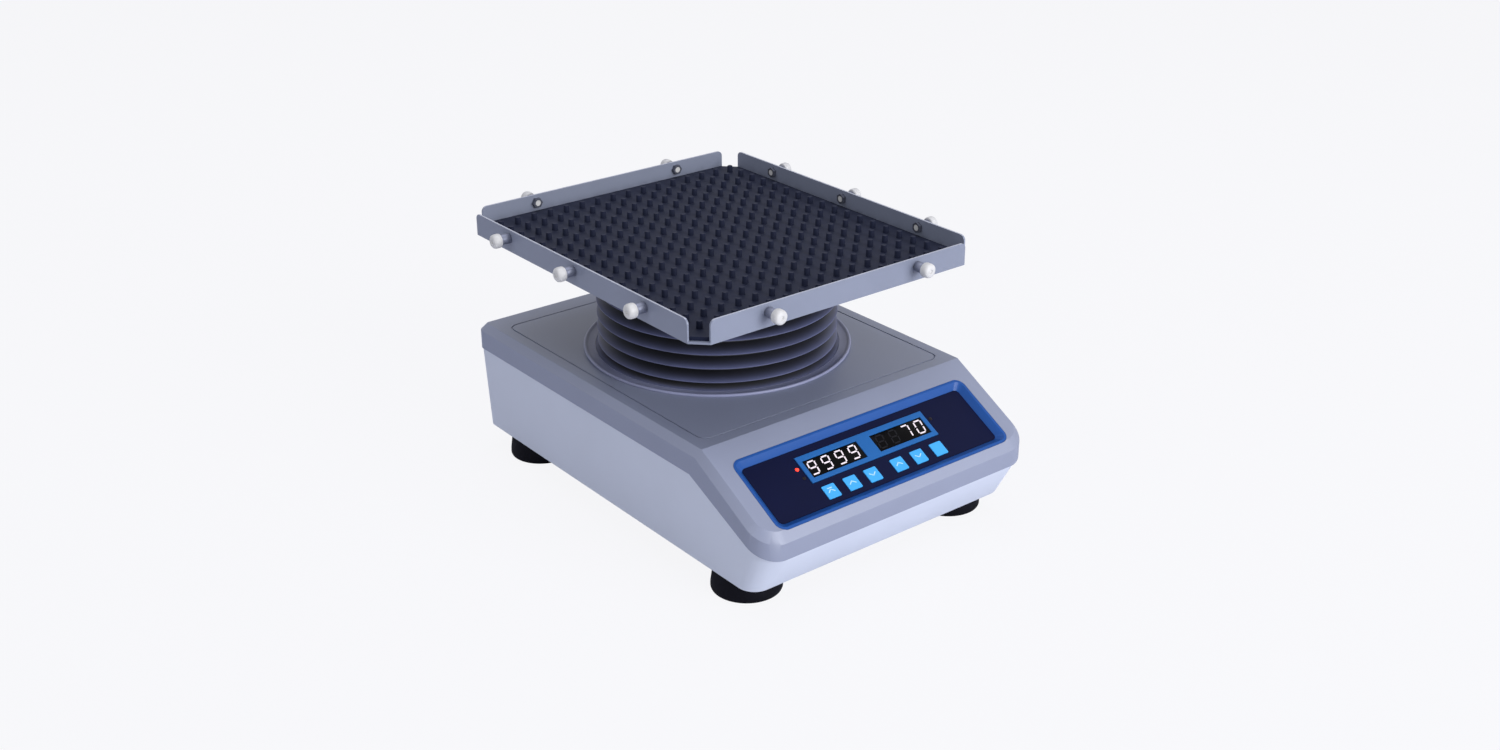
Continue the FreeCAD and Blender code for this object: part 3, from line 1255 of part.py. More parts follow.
def nub(x, y, low, tall, wide, narrow):
    """Six sided tapered nub standing on the sheet."""
    rings = []
    for radius, level in ((wide, low), (narrow, low + tall)):
        rings.append([
            V(x + radius * math.cos(math.pi / 3 * k), y + radius * math.sin(math.pi / 3 * k), level)
            for k in range(6)])
    faces = [Part.Face(Part.makePolygon(ring + [ring[0]])) for ring in rings]
    for k in range(6):
        after = (k + 1) % 6
        corners = [rings[0][k], rings[0][after], rings[1][after], rings[1][k], rings[0][k]]
        faces.append(Part.Face(Part.makePolygon(corners)))
    return Part.Solid(Part.Shell(faces))


pitch = size("nub_pitch")
margin = size("tray_sheet") + size("mat_margin")
columns = int((size("tray_width") - 2 * margin) / pitch)
rows = int((size("tray_length") - 2 * margin) / pitch)
nubs = []
for i in range(columns + 1):
    for j in range(rows + 1):
        nubs.append(nub(
            (i - columns / 2.0) * pitch, (j - rows / 2.0) * pitch,
            size("mat_thick") - 0.4, size("nub_tall") + 0.4,
            size("nub_size"), size("nub_top_size")))
mat = doc.addObject("Part::Feature", "dimple_mat")
mat.Shape = mat_body.Shape.fuse(nubs).removeSplitter()
node(place(mat, "0", "rock_along", "tray_base + tray_sheet"), "dimple_mat")

# Strap posts
post = new_body("post_master")
sketch = new_sketch(post, "post_profile", "XZ")
draw_lines(sketch, [
    ("0", "-tray_sheet - nut_thick"),
    ("post_radius", "-tray_sheet - nut_thick"),
    ("post_radius", "spacer_length"),
    ("head_radius", "spacer_length"),
    ("head_radius", "spacer_length + head_length - head_round"),
    ("head_radius - head_round * 0.3", "spacer_length + head_length - head_round * 0.3"),
    ("head_radius - head_round", "spacer_length + head_length"),
    ("head_dimple", "spacer_length + head_length"),
    ("head_dimple * 0.7", "spacer_length + head_length - head_dimple_deep"),
    ("0", "spacer_length + head_length - head_dimple_deep")])
revolve(post, sketch)

sleeve = new_body("sleeve_master")
sketch = new_sketch(sleeve, "sleeve_plan", "XY")
draw_circle(sketch, "0", "0", "spacer_radius")
draw_circle(sketch, "0", "0", "post_radius + post_fit")
pad(sleeve, sketch, "spacer_length")

nut = new_body("nut_master")
sketch = new_sketch(nut, "nut_plan", "XY", "-tray_sheet - nut_thick")
draw_lines(sketch, [
    ("nut_radius * %.6f" % math.cos(math.pi / 3 * k),
     "nut_radius * %.6f" % math.sin(math.pi / 3 * k)) for k in range(6)])
draw_circle(sketch, "0", "0", "post_radius + post_fit")
pad(nut, sketch, "nut_thick")

level = size("tray_base") + size("post_up")
middle = size("rock_along")
side = size("tray_width") / 2
end = size("tray_length") / 2
spots = []
for step in (-1, 0, 1):
    along = middle + step * size("post_pitch")
    spots.append(FreeCAD.Placement(
        V(side, along, level), FreeCAD.Rotation(V(0, 0, 1), V(1, 0, 0))))
    spots.append(FreeCAD.Placement(
        V(-side, along, level), FreeCAD.Rotation(V(0, 0, 1), V(-1, 0, 0))))
for step in (-1, 1):
    across = step * size("post_across")
    spots.append(FreeCAD.Placement(
        V(across, middle + end, level), FreeCAD.Rotation(V(0, 0, 1), V(0, 1, 0))))
    spots.append(FreeCAD.Placement(
        V(across, middle - end, level), FreeCAD.Rotation(V(0, 0, 1), V(0, -1, 0))))
node(copies("strap_posts", post, spots), "strap_posts")
node(copies("post_spacers", sleeve, spots), "post_spacers")
node(copies("post_nuts", nut, spots), "post_nuts")

# Write
doc.recompute()
problems = []
for item in doc.Objects:
    if "Invalid" in item.State or "Error" in item.State:
        problems.append("%s %s" % (item.Name, item.State))
for item in NODES:
    shape = item.Shape
    if shape.isNull() or not shape.isValid() or not shape.Solids:
        problems.append("%s has no valid solid" % item.Label)
if problems:
    raise SystemExit("\n".join(problems))
os.makedirs("parts", exist_ok=True)
for item in NODES:
    item.Shape.exportStep("parts/%s.step" % item.Label)
    print("%-26s %3d solids %12.1f mm3" % (
        item.Label, len(item.Shape.Solids), item.Shape.Volume))
print(len(NODES), "nodes")
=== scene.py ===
"""Bench top rocking shaker, dressed for rendering. Metres, +Z up, front towards -Y."""
import logging
import math
from dataclasses import dataclass
from enum import Enum
from typing import Callable, Iterable, Sequence

import bmesh
import bpy
from mathutils import Matrix, Vector


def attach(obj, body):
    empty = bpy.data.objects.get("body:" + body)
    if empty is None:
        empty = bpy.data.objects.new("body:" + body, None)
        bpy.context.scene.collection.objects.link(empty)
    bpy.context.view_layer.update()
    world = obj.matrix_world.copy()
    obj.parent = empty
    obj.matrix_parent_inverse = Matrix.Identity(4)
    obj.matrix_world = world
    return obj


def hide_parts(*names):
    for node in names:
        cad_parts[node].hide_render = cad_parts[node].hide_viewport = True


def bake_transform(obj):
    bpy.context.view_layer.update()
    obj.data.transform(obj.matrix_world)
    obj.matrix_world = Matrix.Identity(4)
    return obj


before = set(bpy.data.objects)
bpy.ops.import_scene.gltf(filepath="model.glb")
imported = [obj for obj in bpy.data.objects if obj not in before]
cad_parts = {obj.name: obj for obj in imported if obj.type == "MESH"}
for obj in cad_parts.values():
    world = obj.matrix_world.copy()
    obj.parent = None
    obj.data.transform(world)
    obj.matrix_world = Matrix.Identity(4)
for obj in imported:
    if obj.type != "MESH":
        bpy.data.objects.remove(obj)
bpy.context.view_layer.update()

# A millimetre in metres, and the millimetres in a metre.
MM = 0.001
PER_METRE = 1000.0
LOG = logging.getLogger("rocking_shaker")
Point = tuple[float, float]

# Measures of the row frame in millimetres, shared by several sub-assemblies,
# and the tilt of the sloping front in radians.
ROCK_AXIS = 27.1
COVER_TOP = 110.6
FOLD: Point = (-117.6, COVER_TOP)
NOSE: Point = (-193.6, 69.6)
PLEAT_VALLEY = 84.0
SLOPE_ANGLE = math.atan2(FOLD[1] - NOSE[1], FOLD[0] - NOSE[0])

# Distances in metres within which vertices are one, and the angle in degrees
# up to which neighbouring triangles are one face.
NODE_WELD = 2e-6
TURN_WELD = 1e-6
PLEAT_WELD = 1e-5
FLAT_WITHIN = 0.4

# How every finish is drawn: the steps of its drifting colour, the ends of the
# colour ramp, the clear coat's roughness and the strength of the grain.
DRIFT_DETAIL = 4.0
DRIFT_ROUGHNESS = 0.55
RAMP_ENDS = (0.3, 0.7)
COAT_ROUGHNESS = 0.12
GRAIN_DETAIL = 2.0
GRAIN_STRENGTH = 0.6


class Body(Enum):
    """The bodies that the pieces made here ride on; a key's is its own name."""

    BASE = "base"
    PLATFORM = "platform"
    SWITCH = "power_switch_rocker"


class Icon(Enum):
    """What is printed on a key."""

    TOP = "to the top"
    UP = "up"
    DOWN = "down"
    NONE = "none"


# Finishes
def linear(code: str) -> tuple[float, float, float, float]:
    """Turn an sRGB hex code into linear light.

    Args:
        code: six hex digits with a leading #.

    Returns:
        Red, green, blue and an alpha of one.
    """
    parts = [int(code[i:i + 2], 16) / 255.0 for i in (1, 3, 5)]
    curve = [p / 12.92 if p <= 0.04045 else ((p + 0.055) / 1.055) ** 2.4 for p in parts]
    return (curve[0], curve[1], curve[2], 1.0)


def add_node(tree: bpy.types.NodeTree, kind: str, **settings: object) -> bpy.types.Node:
    """Add a node, set its properties and sockets, and link its inputs.

    Args:
        tree: the tree that takes the node.
        kind: the node's type name.
        settings: a property by its name, or an input by its label with
            spaces as underscores; an output socket as value makes a link.

    Returns:
        The new node.
    """
    node = tree.nodes.new(kind)
    sockets = {s.name.replace(" ", "_"): s for s in reversed(node.inputs)}
    for label, value in settings.items():
        if label not in sockets:
            setattr(node, label, value)
        elif isinstance(value, bpy.types.NodeSocket):
            tree.links.new(value, sockets[label])
        else:
            sockets[label].default_value = value
    return node


@dataclass(frozen=True)
class Finish:
    """A surface by what it is made of and how it was made.

    Lengths are in millimetres. The mottle is the share by which the colour
    drifts, the grain is the moulded or sprayed texture.
    """

    name: str
    colour: str
    roughness: float = 0.5
    metallic: float = 0.0
    ior: float = 1.5
    coat: float = 0.0
    sheen: float = 0.0
    grain: float = 0.0
    grain_depth: float = 0.0
    mottle: float = 0.04
    mottle_size: float = 45.0
    stretch: tuple[float, float, float] = (1.0, 1.0, 1.0)
    glow: float = 0.0
    rough_drift: float = 0.06
    specular: float = 0.5

    def tint(self, tree: bpy.types.NodeTree, place: bpy.types.NodeSocket,
             colour: bpy.types.NodeSocket) -> bpy.types.NodeSocket:
        """Change the colour by place; a plain finish leaves it as it is.

        Args:
            tree: the material's tree.
            place: object coordinates.
            colour: the drifting colour.

        Returns:
            The colour that the shader takes.
        """
        return colour

    def material(self) -> bpy.types.Material:
        """Build the material once and hand it out again after that."""
        known = bpy.data.materials.get(self.name)
        if known:
            return known
        made = bpy.data.materials.new(self.name)
        made.use_nodes = True
        tree = made.node_tree
        tree.nodes.clear()
        base = linear(self.colour)
        place = add_node(tree, "ShaderNodeTexCoord").outputs["Object"]
        mapped = add_node(tree, "ShaderNodeMapping", Vector=place, Scale=self.stretch)
        drift = add_node(
            tree, "ShaderNodeTexNoise", Vector=mapped.outputs["Vector"],
            Scale=PER_METRE / self.mottle_size, Detail=DRIFT_DETAIL,
            Roughness=DRIFT_ROUGHNESS)
        shade = add_node(tree, "ShaderNodeValToRGB", Fac=drift.outputs["Fac"])
        low, high = shade.color_ramp.elements
        low.position, high.position = RAMP_ENDS
        low.color = tuple(c * (1.0 - self.mottle) for c in base[:3]) + (1.0,)
        high.color = tuple(min(c * (1.0 + self.mottle), 1.0) for c in base[:3]) + (1.0,)
        wear = add_node(
            tree, "ShaderNodeMapRange", Value=drift.outputs["Fac"],
            To_Min=max(self.roughness - self.rough_drift, 0.02),
            To_Max=min(self.roughness + self.rough_drift, 1.0))
        shader = add_node(
            tree, "ShaderNodeBsdfPrincipled",
            Base_Color=self.tint(tree, place, shade.outputs["Color"]),
            Metallic=self.metallic, IOR=self.ior, Roughness=wear.outputs["Result"],
            Specular_IOR_Level=self.specular, Coat_Weight=self.coat,
            Coat_Roughness=COAT_ROUGHNESS, Sheen_Weight=self.sheen)
        if self.glow:
            shader.inputs["Emission Color"].default_value = base
            shader.inputs["Emission Strength"].default_value = self.glow
        if self.grain:
            pores = add_node(
                tree, "ShaderNodeTexNoise", Vector=mapped.outputs["Vector"],
                Scale=PER_METRE / self.grain, Detail=GRAIN_DETAIL)
            bump = add_node(
                tree, "ShaderNodeBump", Height=pores.outputs["Fac"],
                Strength=GRAIN_STRENGTH, Distance=self.grain_depth * MM)
            tree.links.new(bump.outputs["Normal"], shader.inputs["Normal"])
        add_node(tree, "ShaderNodeOutputMaterial", Surface=shader.outputs["BSDF"])
        return made


@dataclass(frozen=True)
class PleatFinish(Finish):
    """A finish with painted shade in the valleys of pleats round an upright axis and a painted
    highlight on their rims.

    Deep and bright scale the colour in a valley and on a rim: deep paints the shade of the
    valley, bright paints the highlight of the rim. The falloff is the power by which it fades
    between them.
    """

    axis: float = ROCK_AXIS
    valley: float = PLEAT_VALLEY
    rim: float = 95.8
    falloff: float = 3.2
    # Painted shade in the valley and a painted highlight on the rim, as scales of the colour.
    deep: float = 0.14
    bright: float = 3.6

    def tint(self, tree: bpy.types.NodeTree, place: bpy.types.NodeSocket,
             colour: bpy.types.NodeSocket) -> bpy.types.NodeSocket:
        """Scale the colour by the distance from the axis: painted shade towards the valleys, a
        painted highlight on the rims.
        """
        plan = add_node(tree, "ShaderNodeMapping", Vector=place,
                        Location=(0.0, -self.axis * MM, 0.0), Scale=(1.0, 1.0, 0.0))
        reach = add_node(tree, "ShaderNodeVectorMath", operation="LENGTH",
                         Vector=plan.outputs["Vector"])
        share = add_node(tree, "ShaderNodeMapRange", Value=reach.outputs["Value"],
                         From_Min=self.valley * MM, From_Max=self.rim * MM)
        curve = add_node(tree, "ShaderNodeMath", operation="POWER")
        curve.inputs[1].default_value = self.falloff
        tree.links.new(share.outputs["Result"], curve.inputs[0])
        level = add_node(tree, "ShaderNodeMapRange", Value=curve.outputs["Value"],
                         To_Min=self.deep, To_Max=self.bright)
        return add_node(tree, "ShaderNodeVectorMath", operation="SCALE", Vector=colour,
                        Scale=level.outputs["Result"]).outputs["Vector"]


# Spark textured moulded ABS: even, with a soft broad highlight. The spark
# texture is about 0.2 mm on the real cover and drawn 1.2 mm coarse to show.
COVER_ABS = Finish("cover moulded ABS", "#898FA3", 0.42, ior=1.54, grain=1.2,
                   grain_depth=0.02, mottle=0.025, mottle_size=90.0)
# The same ABS in a lighter batch colour, a little duller from its deeper spark texture.
TUB_ABS = Finish("tub moulded ABS", "#CAD0DD", 0.45, ior=1.54, grain=1.2,
                 grain_depth=0.02, mottle=0.02, mottle_size=90.0)
# Moulded nitrile rubber: nearly black, dull, a little dusty on the flanks.
FOOT_RUBBER = Finish("foot nitrile rubber", "#0B0B13", 0.68, ior=1.52, sheen=0.02,
                     specular=0.08, grain=0.8, grain_depth=0.03, mottle=0.15,
                     mottle_size=12.0)
# Dip moulded neoprene: blue black, with painted shade in its valleys and a painted highlight on
# its rims.
BELLOWS_NEOPRENE = PleatFinish("bellows neoprene", "#303347", 0.5, ior=1.52, sheen=0.1,
                               specular=0.3, grain=0.9, grain_depth=0.02, mottle=0.1,
                               mottle_size=25.0)
# The clamping ring of the bellows: a stiffer, greyer rubber with a smooth skin.
RING_RUBBER = Finish("bellows ring rubber", "#8B8FAA", 0.42, ior=1.52, specular=0.4,
                     grain=0.9, grain_depth=0.015, mottle=0.05, mottle_size=40.0)
# Gloss moulded ABS in a strong blue, polished in the mould.
FRAME_GLOSS = Finish("panel frame gloss ABS", "#1C4F96", 0.36, coat=0.08, specular=0.2,
                     mottle=0.05, mottle_size=60.0)
# Screen printed polyester film with a velvet face that hides reflections.
PANEL_FILM = Finish("panel polyester film", "#0C1130", 0.5, ior=1.58, specular=0.06,
                    grain=0.6, grain_depth=0.01, mottle=0.06, mottle_size=50.0)
# The same film over the displays, printed from behind in a lighter blue.
BEZEL_FILM = Finish("bezel polyester film", "#155FA3", 0.4, ior=1.58,
                    specular=0.25, mottle=0.05, mottle_size=30.0)
# Smoked acrylic: almost black, with a clear polished face.
WINDOW_FILTER = Finish("smoked acrylic window", "#050506", 0.25, ior=1.49, specular=0.06,
                       mottle=0.05, rough_drift=0.02)
# Light emitting diode behind a diffuser: a warm white that doesn't burn out.
LIT_DIGIT = Finish("lit LED segment", "#DCD2D6", 0.45, mottle=0.0, glow=0.42, specular=0.1)
# The same diffuser unlit, barely lighter than the window.
DARK_DIGIT = Finish("unlit LED segment", "#17161A", 0.4, specular=0.1, mottle=0.05)
# Embossed polyester over a metal dome: bright, smooth, lightly worn in the middle.
KEY_FILM = Finish("embossed key film", "#33A8EE", 0.36, coat=0.1, ior=1.58,
                  mottle=0.03, mottle_size=8.0)
# White ink under the film of a key, faint through the blue.
KEY_PRINT = Finish("white key print", "#B9E2F8", 0.4, mottle=0.02)
# Red diffused lamp, lit.
LAMP_LIT = Finish("lit red lamp", "#FF3A22", 0.25, mottle=0.0, glow=1.4)
# The same lamp unlit: dark red, clear skinned.
LAMP_DARK = Finish("unlit lamp", "#140C12", 0.3, specular=0.2, mottle=0.05)
# Powder coated steel: a fine orange peel, drawn at 1.5 mm.
TRAY_COAT = Finish("tray powder coat", "#828899", 0.4, ior=1.5, coat=0.1, grain=1.5,
                   grain_depth=0.025, mottle=0.03, mottle_size=60.0)
# Where the sheet was sheared the coat is thin and the steel shows; the lighter colour on the
# upward top edges is also a painted highlight.
TRAY_BARE_EDGE_AND_HIGHLIGHT = Finish("tray bare edge and painted highlight", "#B0B4C2", 0.35, metallic=0.3,
                   mottle=0.08, mottle_size=10.0)
# Moulded silicone, blue grey and dull, with a bloom of dust.
MAT_RUBBER = Finish("mat silicone rubber", "#191E32", 0.64, ior=1.43, sheen=0.03,
                    specular=0.15, grain=1.0, grain_depth=0.03, mottle=0.1,
                    mottle_size=18.0)
# Turned nylon: milky, slightly waxy.
POST_NYLON = Finish("post turned nylon", "#CFCECB", 0.46, ior=1.53, grain=0.9,
                    grain_depth=0.015, mottle=0.03, mottle_size=6.0)
# Anodised aluminium sleeve, drawn along its length.
SPACER_ALLOY = Finish("spacer anodised aluminium", "#7C8090", 0.5, metallic=0.6,
                      mottle=0.08, mottle_size=4.0, stretch=(1.0, 1.0, 6.0))
# Zinc plate over steel, slightly yellow grey and uneven.
SCREW_ZINC = Finish("zinc plated steel", "#A4A5A8", 0.36, metallic=1.0, mottle=0.1,
                    mottle_size=5.0)
# Blackened steel nuts, dull and a little oily.
NUT_STEEL = Finish("blackened steel nut", "#5C5F6B", 0.48, metallic=0.8, mottle=0.1,
                   mottle_size=4.0)
# Sand cast aluminium with a rough skin.
CAST_ALLOY = Finish("cast aluminium", "#A8ABB0", 0.5, metallic=1.0, grain=1.0,
                    grain_depth=0.06, mottle=0.08, mottle_size=20.0)
# Dark stove paint on folded steel.
CHASSIS_PAINT = Finish("painted chassis steel", "#4D5056", 0.55, grain=1.2,
                       grain_depth=0.03)
# Ground steel, its marks running round the shaft.
GROUND_STEEL = Finish("ground shaft steel", "#C4C5C8", 0.18, metallic=1.0,
                      mottle=0.05, mottle_size=3.0, stretch=(1.0, 8.0, 1.0))
# Moulded natural nylon of the toothed sector.
GEAR_NYLON = Finish("gear moulded nylon", "#DAD6C6", 0.45, ior=1.53, mottle=0.04)
# Hobbed brass, bright on the teeth.
PINION_BRASS = Finish("pinion machined brass", "#C9A04A", 0.28, metallic=1.0,
                      mottle=0.06, mottle_size=6.0)
# Black enamel on the motor's laminations and caps.
MOTOR_PAINT = Finish("motor black enamel", "#141416", 0.4, coat=0.2, mottle=0.08)
# Green solder mask over glass fibre board.
BOARD_MASK = Finish("board solder mask", "#0F4A26", 0.35, coat=0.3, mottle=0.08)
# Glass filled nylon of the inlet and switch, faintly grained.
BLACK_NYLON = Finish("black glass filled nylon", "#17171A", 0.48, grain=0.7,
                     grain_depth=0.02, mottle=0.08, mottle_size=15.0)


# Modelling
def edges_of(bm: bmesh.types.BMesh, test: Callable[[bmesh.types.BMEdge], bool]
             ) -> list[bmesh.types.BMEdge]:
    """Edges that pass a test."""
    return [edge for edge in bm.edges if test(edge)]


def soften(bm: bmesh.types.BMesh, edges: Iterable[bmesh.types.BMEdge], width: float,
           segments: int = 2) -> None:
    """Round edges.

    Args:
        bm: the mesh.
        edges: what to round.
        width: in millimetres.
        segments: steps across the round.
    """
    bmesh.ops.bevel(
        bm, geom=list(edges), offset=width * MM, offset_type="OFFSET", affect="EDGES",
        segments=segments, profile=0.5, material=-1, clamp_overlap=True)


def folded(edge: bmesh.types.BMEdge, degrees: float) -> bool:
    """True where an edge joins two faces at more than an angle."""
    return len(edge.link_faces) == 2 and edge.calc_face_angle(0.0) > math.radians(degrees)


def soften_folds(bm: bmesh.types.BMesh, width: float, segments: int = 2,
                 degrees: float = 25.0, shortest: float = 2.0) -> None:
    """Round every edge that folds the surface.

    Args:
        bm: the mesh.
        width: of the round, in millimetres.
        segments: steps across the round.
        degrees: edges that fold less than this stay.
        shortest: edges up to this many millimetres long stay.
    """
    folds = edges_of(
        bm, lambda edge: folded(edge, degrees) and edge.calc_length() > shortest * MM)
    soften(bm, folds, width, segments)


def slab(size: Sequence[float], at: Sequence[float] = (0.0, 0.0, 0.0),
         bm: bmesh.types.BMesh | None = None) -> bmesh.types.BMesh:
    """A box round a middle point, in millimetres, in a new or a given mesh."""
    bm = bm or bmesh.new()
    shift = Matrix.Translation(Vector(at) * MM) @ Matrix.Diagonal((*(Vector(size) * MM), 1.0))
    bmesh.ops.create_cube(bm, size=1.0, matrix=shift)
    return bm


def turned(profile: Sequence[Point], steps: int = 64) -> bmesh.types.BMesh:
    """Turn a profile of radius and height, in millimetres, about Z.

    Args:
        profile: points from one end of the outline to the other.
        steps: faces round the circle.

    Returns:
        The mesh, closed, with its faces outwards.
    """
    work = bmesh.new()
    line = [work.verts.new((r * MM, 0.0, z * MM)) for r, z in profile]
    for a, b in zip(line, line[1:]):
        work.edges.new((a, b))
    bmesh.ops.spin(
        work, geom=work.verts[:] + work.edges[:], cent=(0, 0, 0), axis=(0, 0, 1),
        angle=2.0 * math.pi, steps=steps, use_merge=True, use_duplicate=False)
    bmesh.ops.remove_doubles(work, verts=work.verts[:], dist=TURN_WELD)
    bmesh.ops.recalc_face_normals(work, faces=work.faces[:])
    return work


def pour(source: bmesh.types.BMesh, target: bmesh.types.BMesh, place: Matrix) -> None:
    """Copy one mesh into another at a place."""
    mesh = bpy.data.meshes.new("pour")
    source.to_mesh(mesh)
    mesh.transform(place)
    target.from_mesh(mesh)
    bpy.data.meshes.remove(mesh)


def copy_of_node(node: str) -> bmesh.types.BMesh:
    """A CAD node's mesh with its loose triangles joined into whole faces."""
    bm = bmesh.new()
    bm.from_mesh(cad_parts[node].data)
    bmesh.ops.remove_doubles(bm, verts=bm.verts[:], dist=NODE_WELD)
    bmesh.ops.dissolve_limit(
        bm, angle_limit=math.radians(FLAT_WITHIN), verts=bm.verts[:], edges=bm.edges[:],
        delimit={"NORMAL"})
    return bm


@dataclass
class SubAssembly:
    """Pieces that are made and dressed together on one body.

    A face of more than four corners is shaded flat from the flat area on, in
    square metres, because smooth shading would draw streaks across it.
    """

    body: Body = Body.BASE
    flat_area: float = 4e-5

    def settle(self, name: str, bm: bmesh.types.BMesh, finish: Finish, slot: str,
               replaces: Sequence[str] = (), crease: float = 32.0,
               more: Sequence[Finish] = (), body: str | None = None,
               rides: bool = True) -> bpy.types.Object:
        """Turn a mesh into a finished piece that rides on a body.

        Args:
            name: the piece's name.
            bm: its mesh, in the row frame; it is used up.
            finish: the finish of its first material.
            slot: the record's material slot; not used.
            replaces: CAD nodes that it stands for.
            crease: edges sharper than this many degrees stay crisp.
            more: finishes of further material indices.
            body: a body's name where it isn't the sub-assembly's.
            rides: False for a piece that is left off every body.

        Returns:
            The piece.
        """
        for face in bm.faces:
            face.smooth = len(face.verts) < 5 or face.calc_area() < self.flat_area
        for edge in bm.edges:
            edge.smooth = not folded(edge, crease)
        mesh = bpy.data.meshes.new(name)
        bm.to_mesh(mesh)
        bm.free()
        for item in (finish, *more):
            mesh.materials.append(item.material())
        piece = bpy.data.objects.new(name, mesh)
        bpy.context.scene.collection.objects.link(piece)
        if rides:
            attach(piece, body or self.body.value)
        if replaces:
            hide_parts(*replaces)
        LOG.info("%s: %d faces", name, len(mesh.polygons))
        return piece

    def dress(self, finishes: dict[str, Finish]) -> None:
        """Give CAD nodes that stay a finish."""
        for node, finish in finishes.items():
            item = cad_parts[node]
            item.data.materials.clear()
            item.data.materials.append(finish.material())
            LOG.info("%s: carried over", node)


# Studio
@dataclass
class Studio:
    """Camera, lamps, background and floor.

    Lengths are in metres, apart from the sensor and the lens in millimetres.
    """

    sensor: float = 36.0
    sight: float = 50.0
    lens: float = 40.762
    azimuth: float = -38.56
    elevation: float = 24.62
    roll: float = -0.10
    distance: float = 1.34397
    target: tuple[float, float, float] = (0.00338, -0.01033, 0.09261)
    aim: tuple[float, float, float] = (0.0, 0.0, 0.1)
    backdrop: str = "#F7F7F9"
    fill: str = "#EEF0FA"
    fill_strength: float = 0.34
    paper: str = "#D8DAE4"
    paper_glow: float = 1.035
    glow_share: float = 0.93
    floor_reach: float = 12.0
    floor_drop: float = 0.0002

    def camera(self) -> None:
        """Stand the camera where the photograph was taken."""
        turn, lift, tilt = (math.radians(a) for a in (self.azimuth, self.elevation, self.roll))
        back = Vector((math.sin(turn) * math.cos(lift), -math.cos(turn) * math.cos(lift),
                       math.sin(lift)))
        right = Vector((math.cos(turn), math.sin(turn), 0.0))
        up = back.cross(right)
        across = right * math.cos(tilt) + up * math.sin(tilt)
        upward = up * math.cos(tilt) - right * math.sin(tilt)
        data = bpy.data.cameras.new("camera")
        data.sensor_width = self.sensor
        data.lens = self.lens
        data.clip_end = self.sight
        item = bpy.data.objects.new("camera", data)
        axes = Matrix((across, upward, back)).transposed().to_4x4()
        stand = Vector(self.target) + back * self.distance
        item.matrix_world = Matrix.Translation(stand) @ axes
        bpy.context.scene.collection.objects.link(item)
        bpy.context.scene.camera = item

    def lamp(self, name: str, at: Sequence[float], size: float, watts: float,
             tint: str) -> None:
        """Hang a soft square lamp that faces the object.

        Args:
            name: the lamp's name.
            at: its place in metres.
            size: its side in metres.
            watts: its power.
            tint: its colour.
        """
        data = bpy.data.lights.new(name, "AREA")
        data.size = size
        data.energy = watts
        data.color = linear(tint)[:3]
        item = bpy.data.objects.new(name, data)
        facing = (Vector(at) - Vector(self.aim)).to_track_quat("Z", "Y")
        item.matrix_world = Matrix.Translation(at) @ facing.to_matrix().to_4x4()
        bpy.context.scene.collection.objects.link(item)

    def lamps(self) -> None:
        """A large front lamp, a weaker one on the left and one overhead."""
        self.lamp("front", (0.5, -2.4, 0.9), 1.6, 62.0, "#F9FAFF")
        self.lamp("left", (-2.2, -0.4, 0.8), 1.4, 11.0, "#F9FAFF")
        self.lamp("overhead", (0.1, 0.4, 2.4), 1.6, 20.0, "#EAEDFF")

    def world(self) -> None:
        """A pale background for the eye and gloss, a weaker one for light."""
        world = bpy.data.worlds.new("studio")
        bpy.context.scene.world = world
        world.use_nodes = True
        tree = world.node_tree
        tree.nodes.clear()
        path = add_node(tree, "ShaderNodeLightPath")
        seen = add_node(tree, "ShaderNodeMath", operation="MAXIMUM")
        glass = add_node(tree, "ShaderNodeMath", operation="MAXIMUM")
        tree.links.new(path.outputs["Is Glossy Ray"], glass.inputs[0])
        tree.links.new(path.outputs["Is Transmission Ray"], glass.inputs[1])
        tree.links.new(path.outputs["Is Camera Ray"], seen.inputs[0])
        tree.links.new(glass.outputs[0], seen.inputs[1])
        pale = add_node(tree, "ShaderNodeBackground", Color=linear(self.backdrop), Strength=1.0)
        soft = add_node(tree, "ShaderNodeBackground", Color=linear(self.fill),
                        Strength=self.fill_strength)
        mix = add_node(tree, "ShaderNodeMixShader", Fac=seen.outputs[0])
        tree.links.new(soft.outputs[0], mix.inputs[1])
        tree.links.new(pale.outputs[0], mix.inputs[2])
        add_node(tree, "ShaderNodeOutputWorld", Surface=mix.outputs[0])

    def floor(self) -> None:
        """A wide pale sweep that keeps a faint shadow."""
        bm = bmesh.new()
        bmesh.ops.create_grid(bm, x_segments=1, y_segments=1, size=self.floor_reach)
        mesh = bpy.data.meshes.new("floor")
        bm.to_mesh(mesh)
        bm.free()
        paper = bpy.data.materials.new("studio paper")
        paper.use_nodes = True
        tree = paper.node_tree
        tree.nodes.clear()
        path = add_node(tree, "ShaderNodeLightPath")
        grey = add_node(tree, "ShaderNodeBsdfDiffuse", Color=linear(self.paper))
        glow = add_node(tree, "ShaderNodeEmission", Color=linear(self.backdrop),
                        Strength=self.paper_glow)
        share = add_node(tree, "ShaderNodeMath", operation="MULTIPLY")
        share.inputs[1].default_value = self.glow_share
        tree.links.new(path.outputs["Is Camera Ray"], share.inputs[0])
        mix = add_node(tree, "ShaderNodeMixShader", Fac=share.outputs[0])
        tree.links.new(grey.outputs[0], mix.inputs[1])
        tree.links.new(glow.outputs[0], mix.inputs[2])
        add_node(tree, "ShaderNodeOutputMaterial", Surface=mix.outputs[0])
        mesh.materials.append(paper)
        item = bpy.data.objects.new("floor", mesh)
        item.location.z = -self.floor_drop
        bpy.context.scene.collection.objects.link(item)

    def build(self) -> None:
        """Set up everything round the object."""
        bpy.context.scene.view_settings.view_transform = "Standard"
        self.camera()
        self.lamps()
        self.world()
        self.floor()


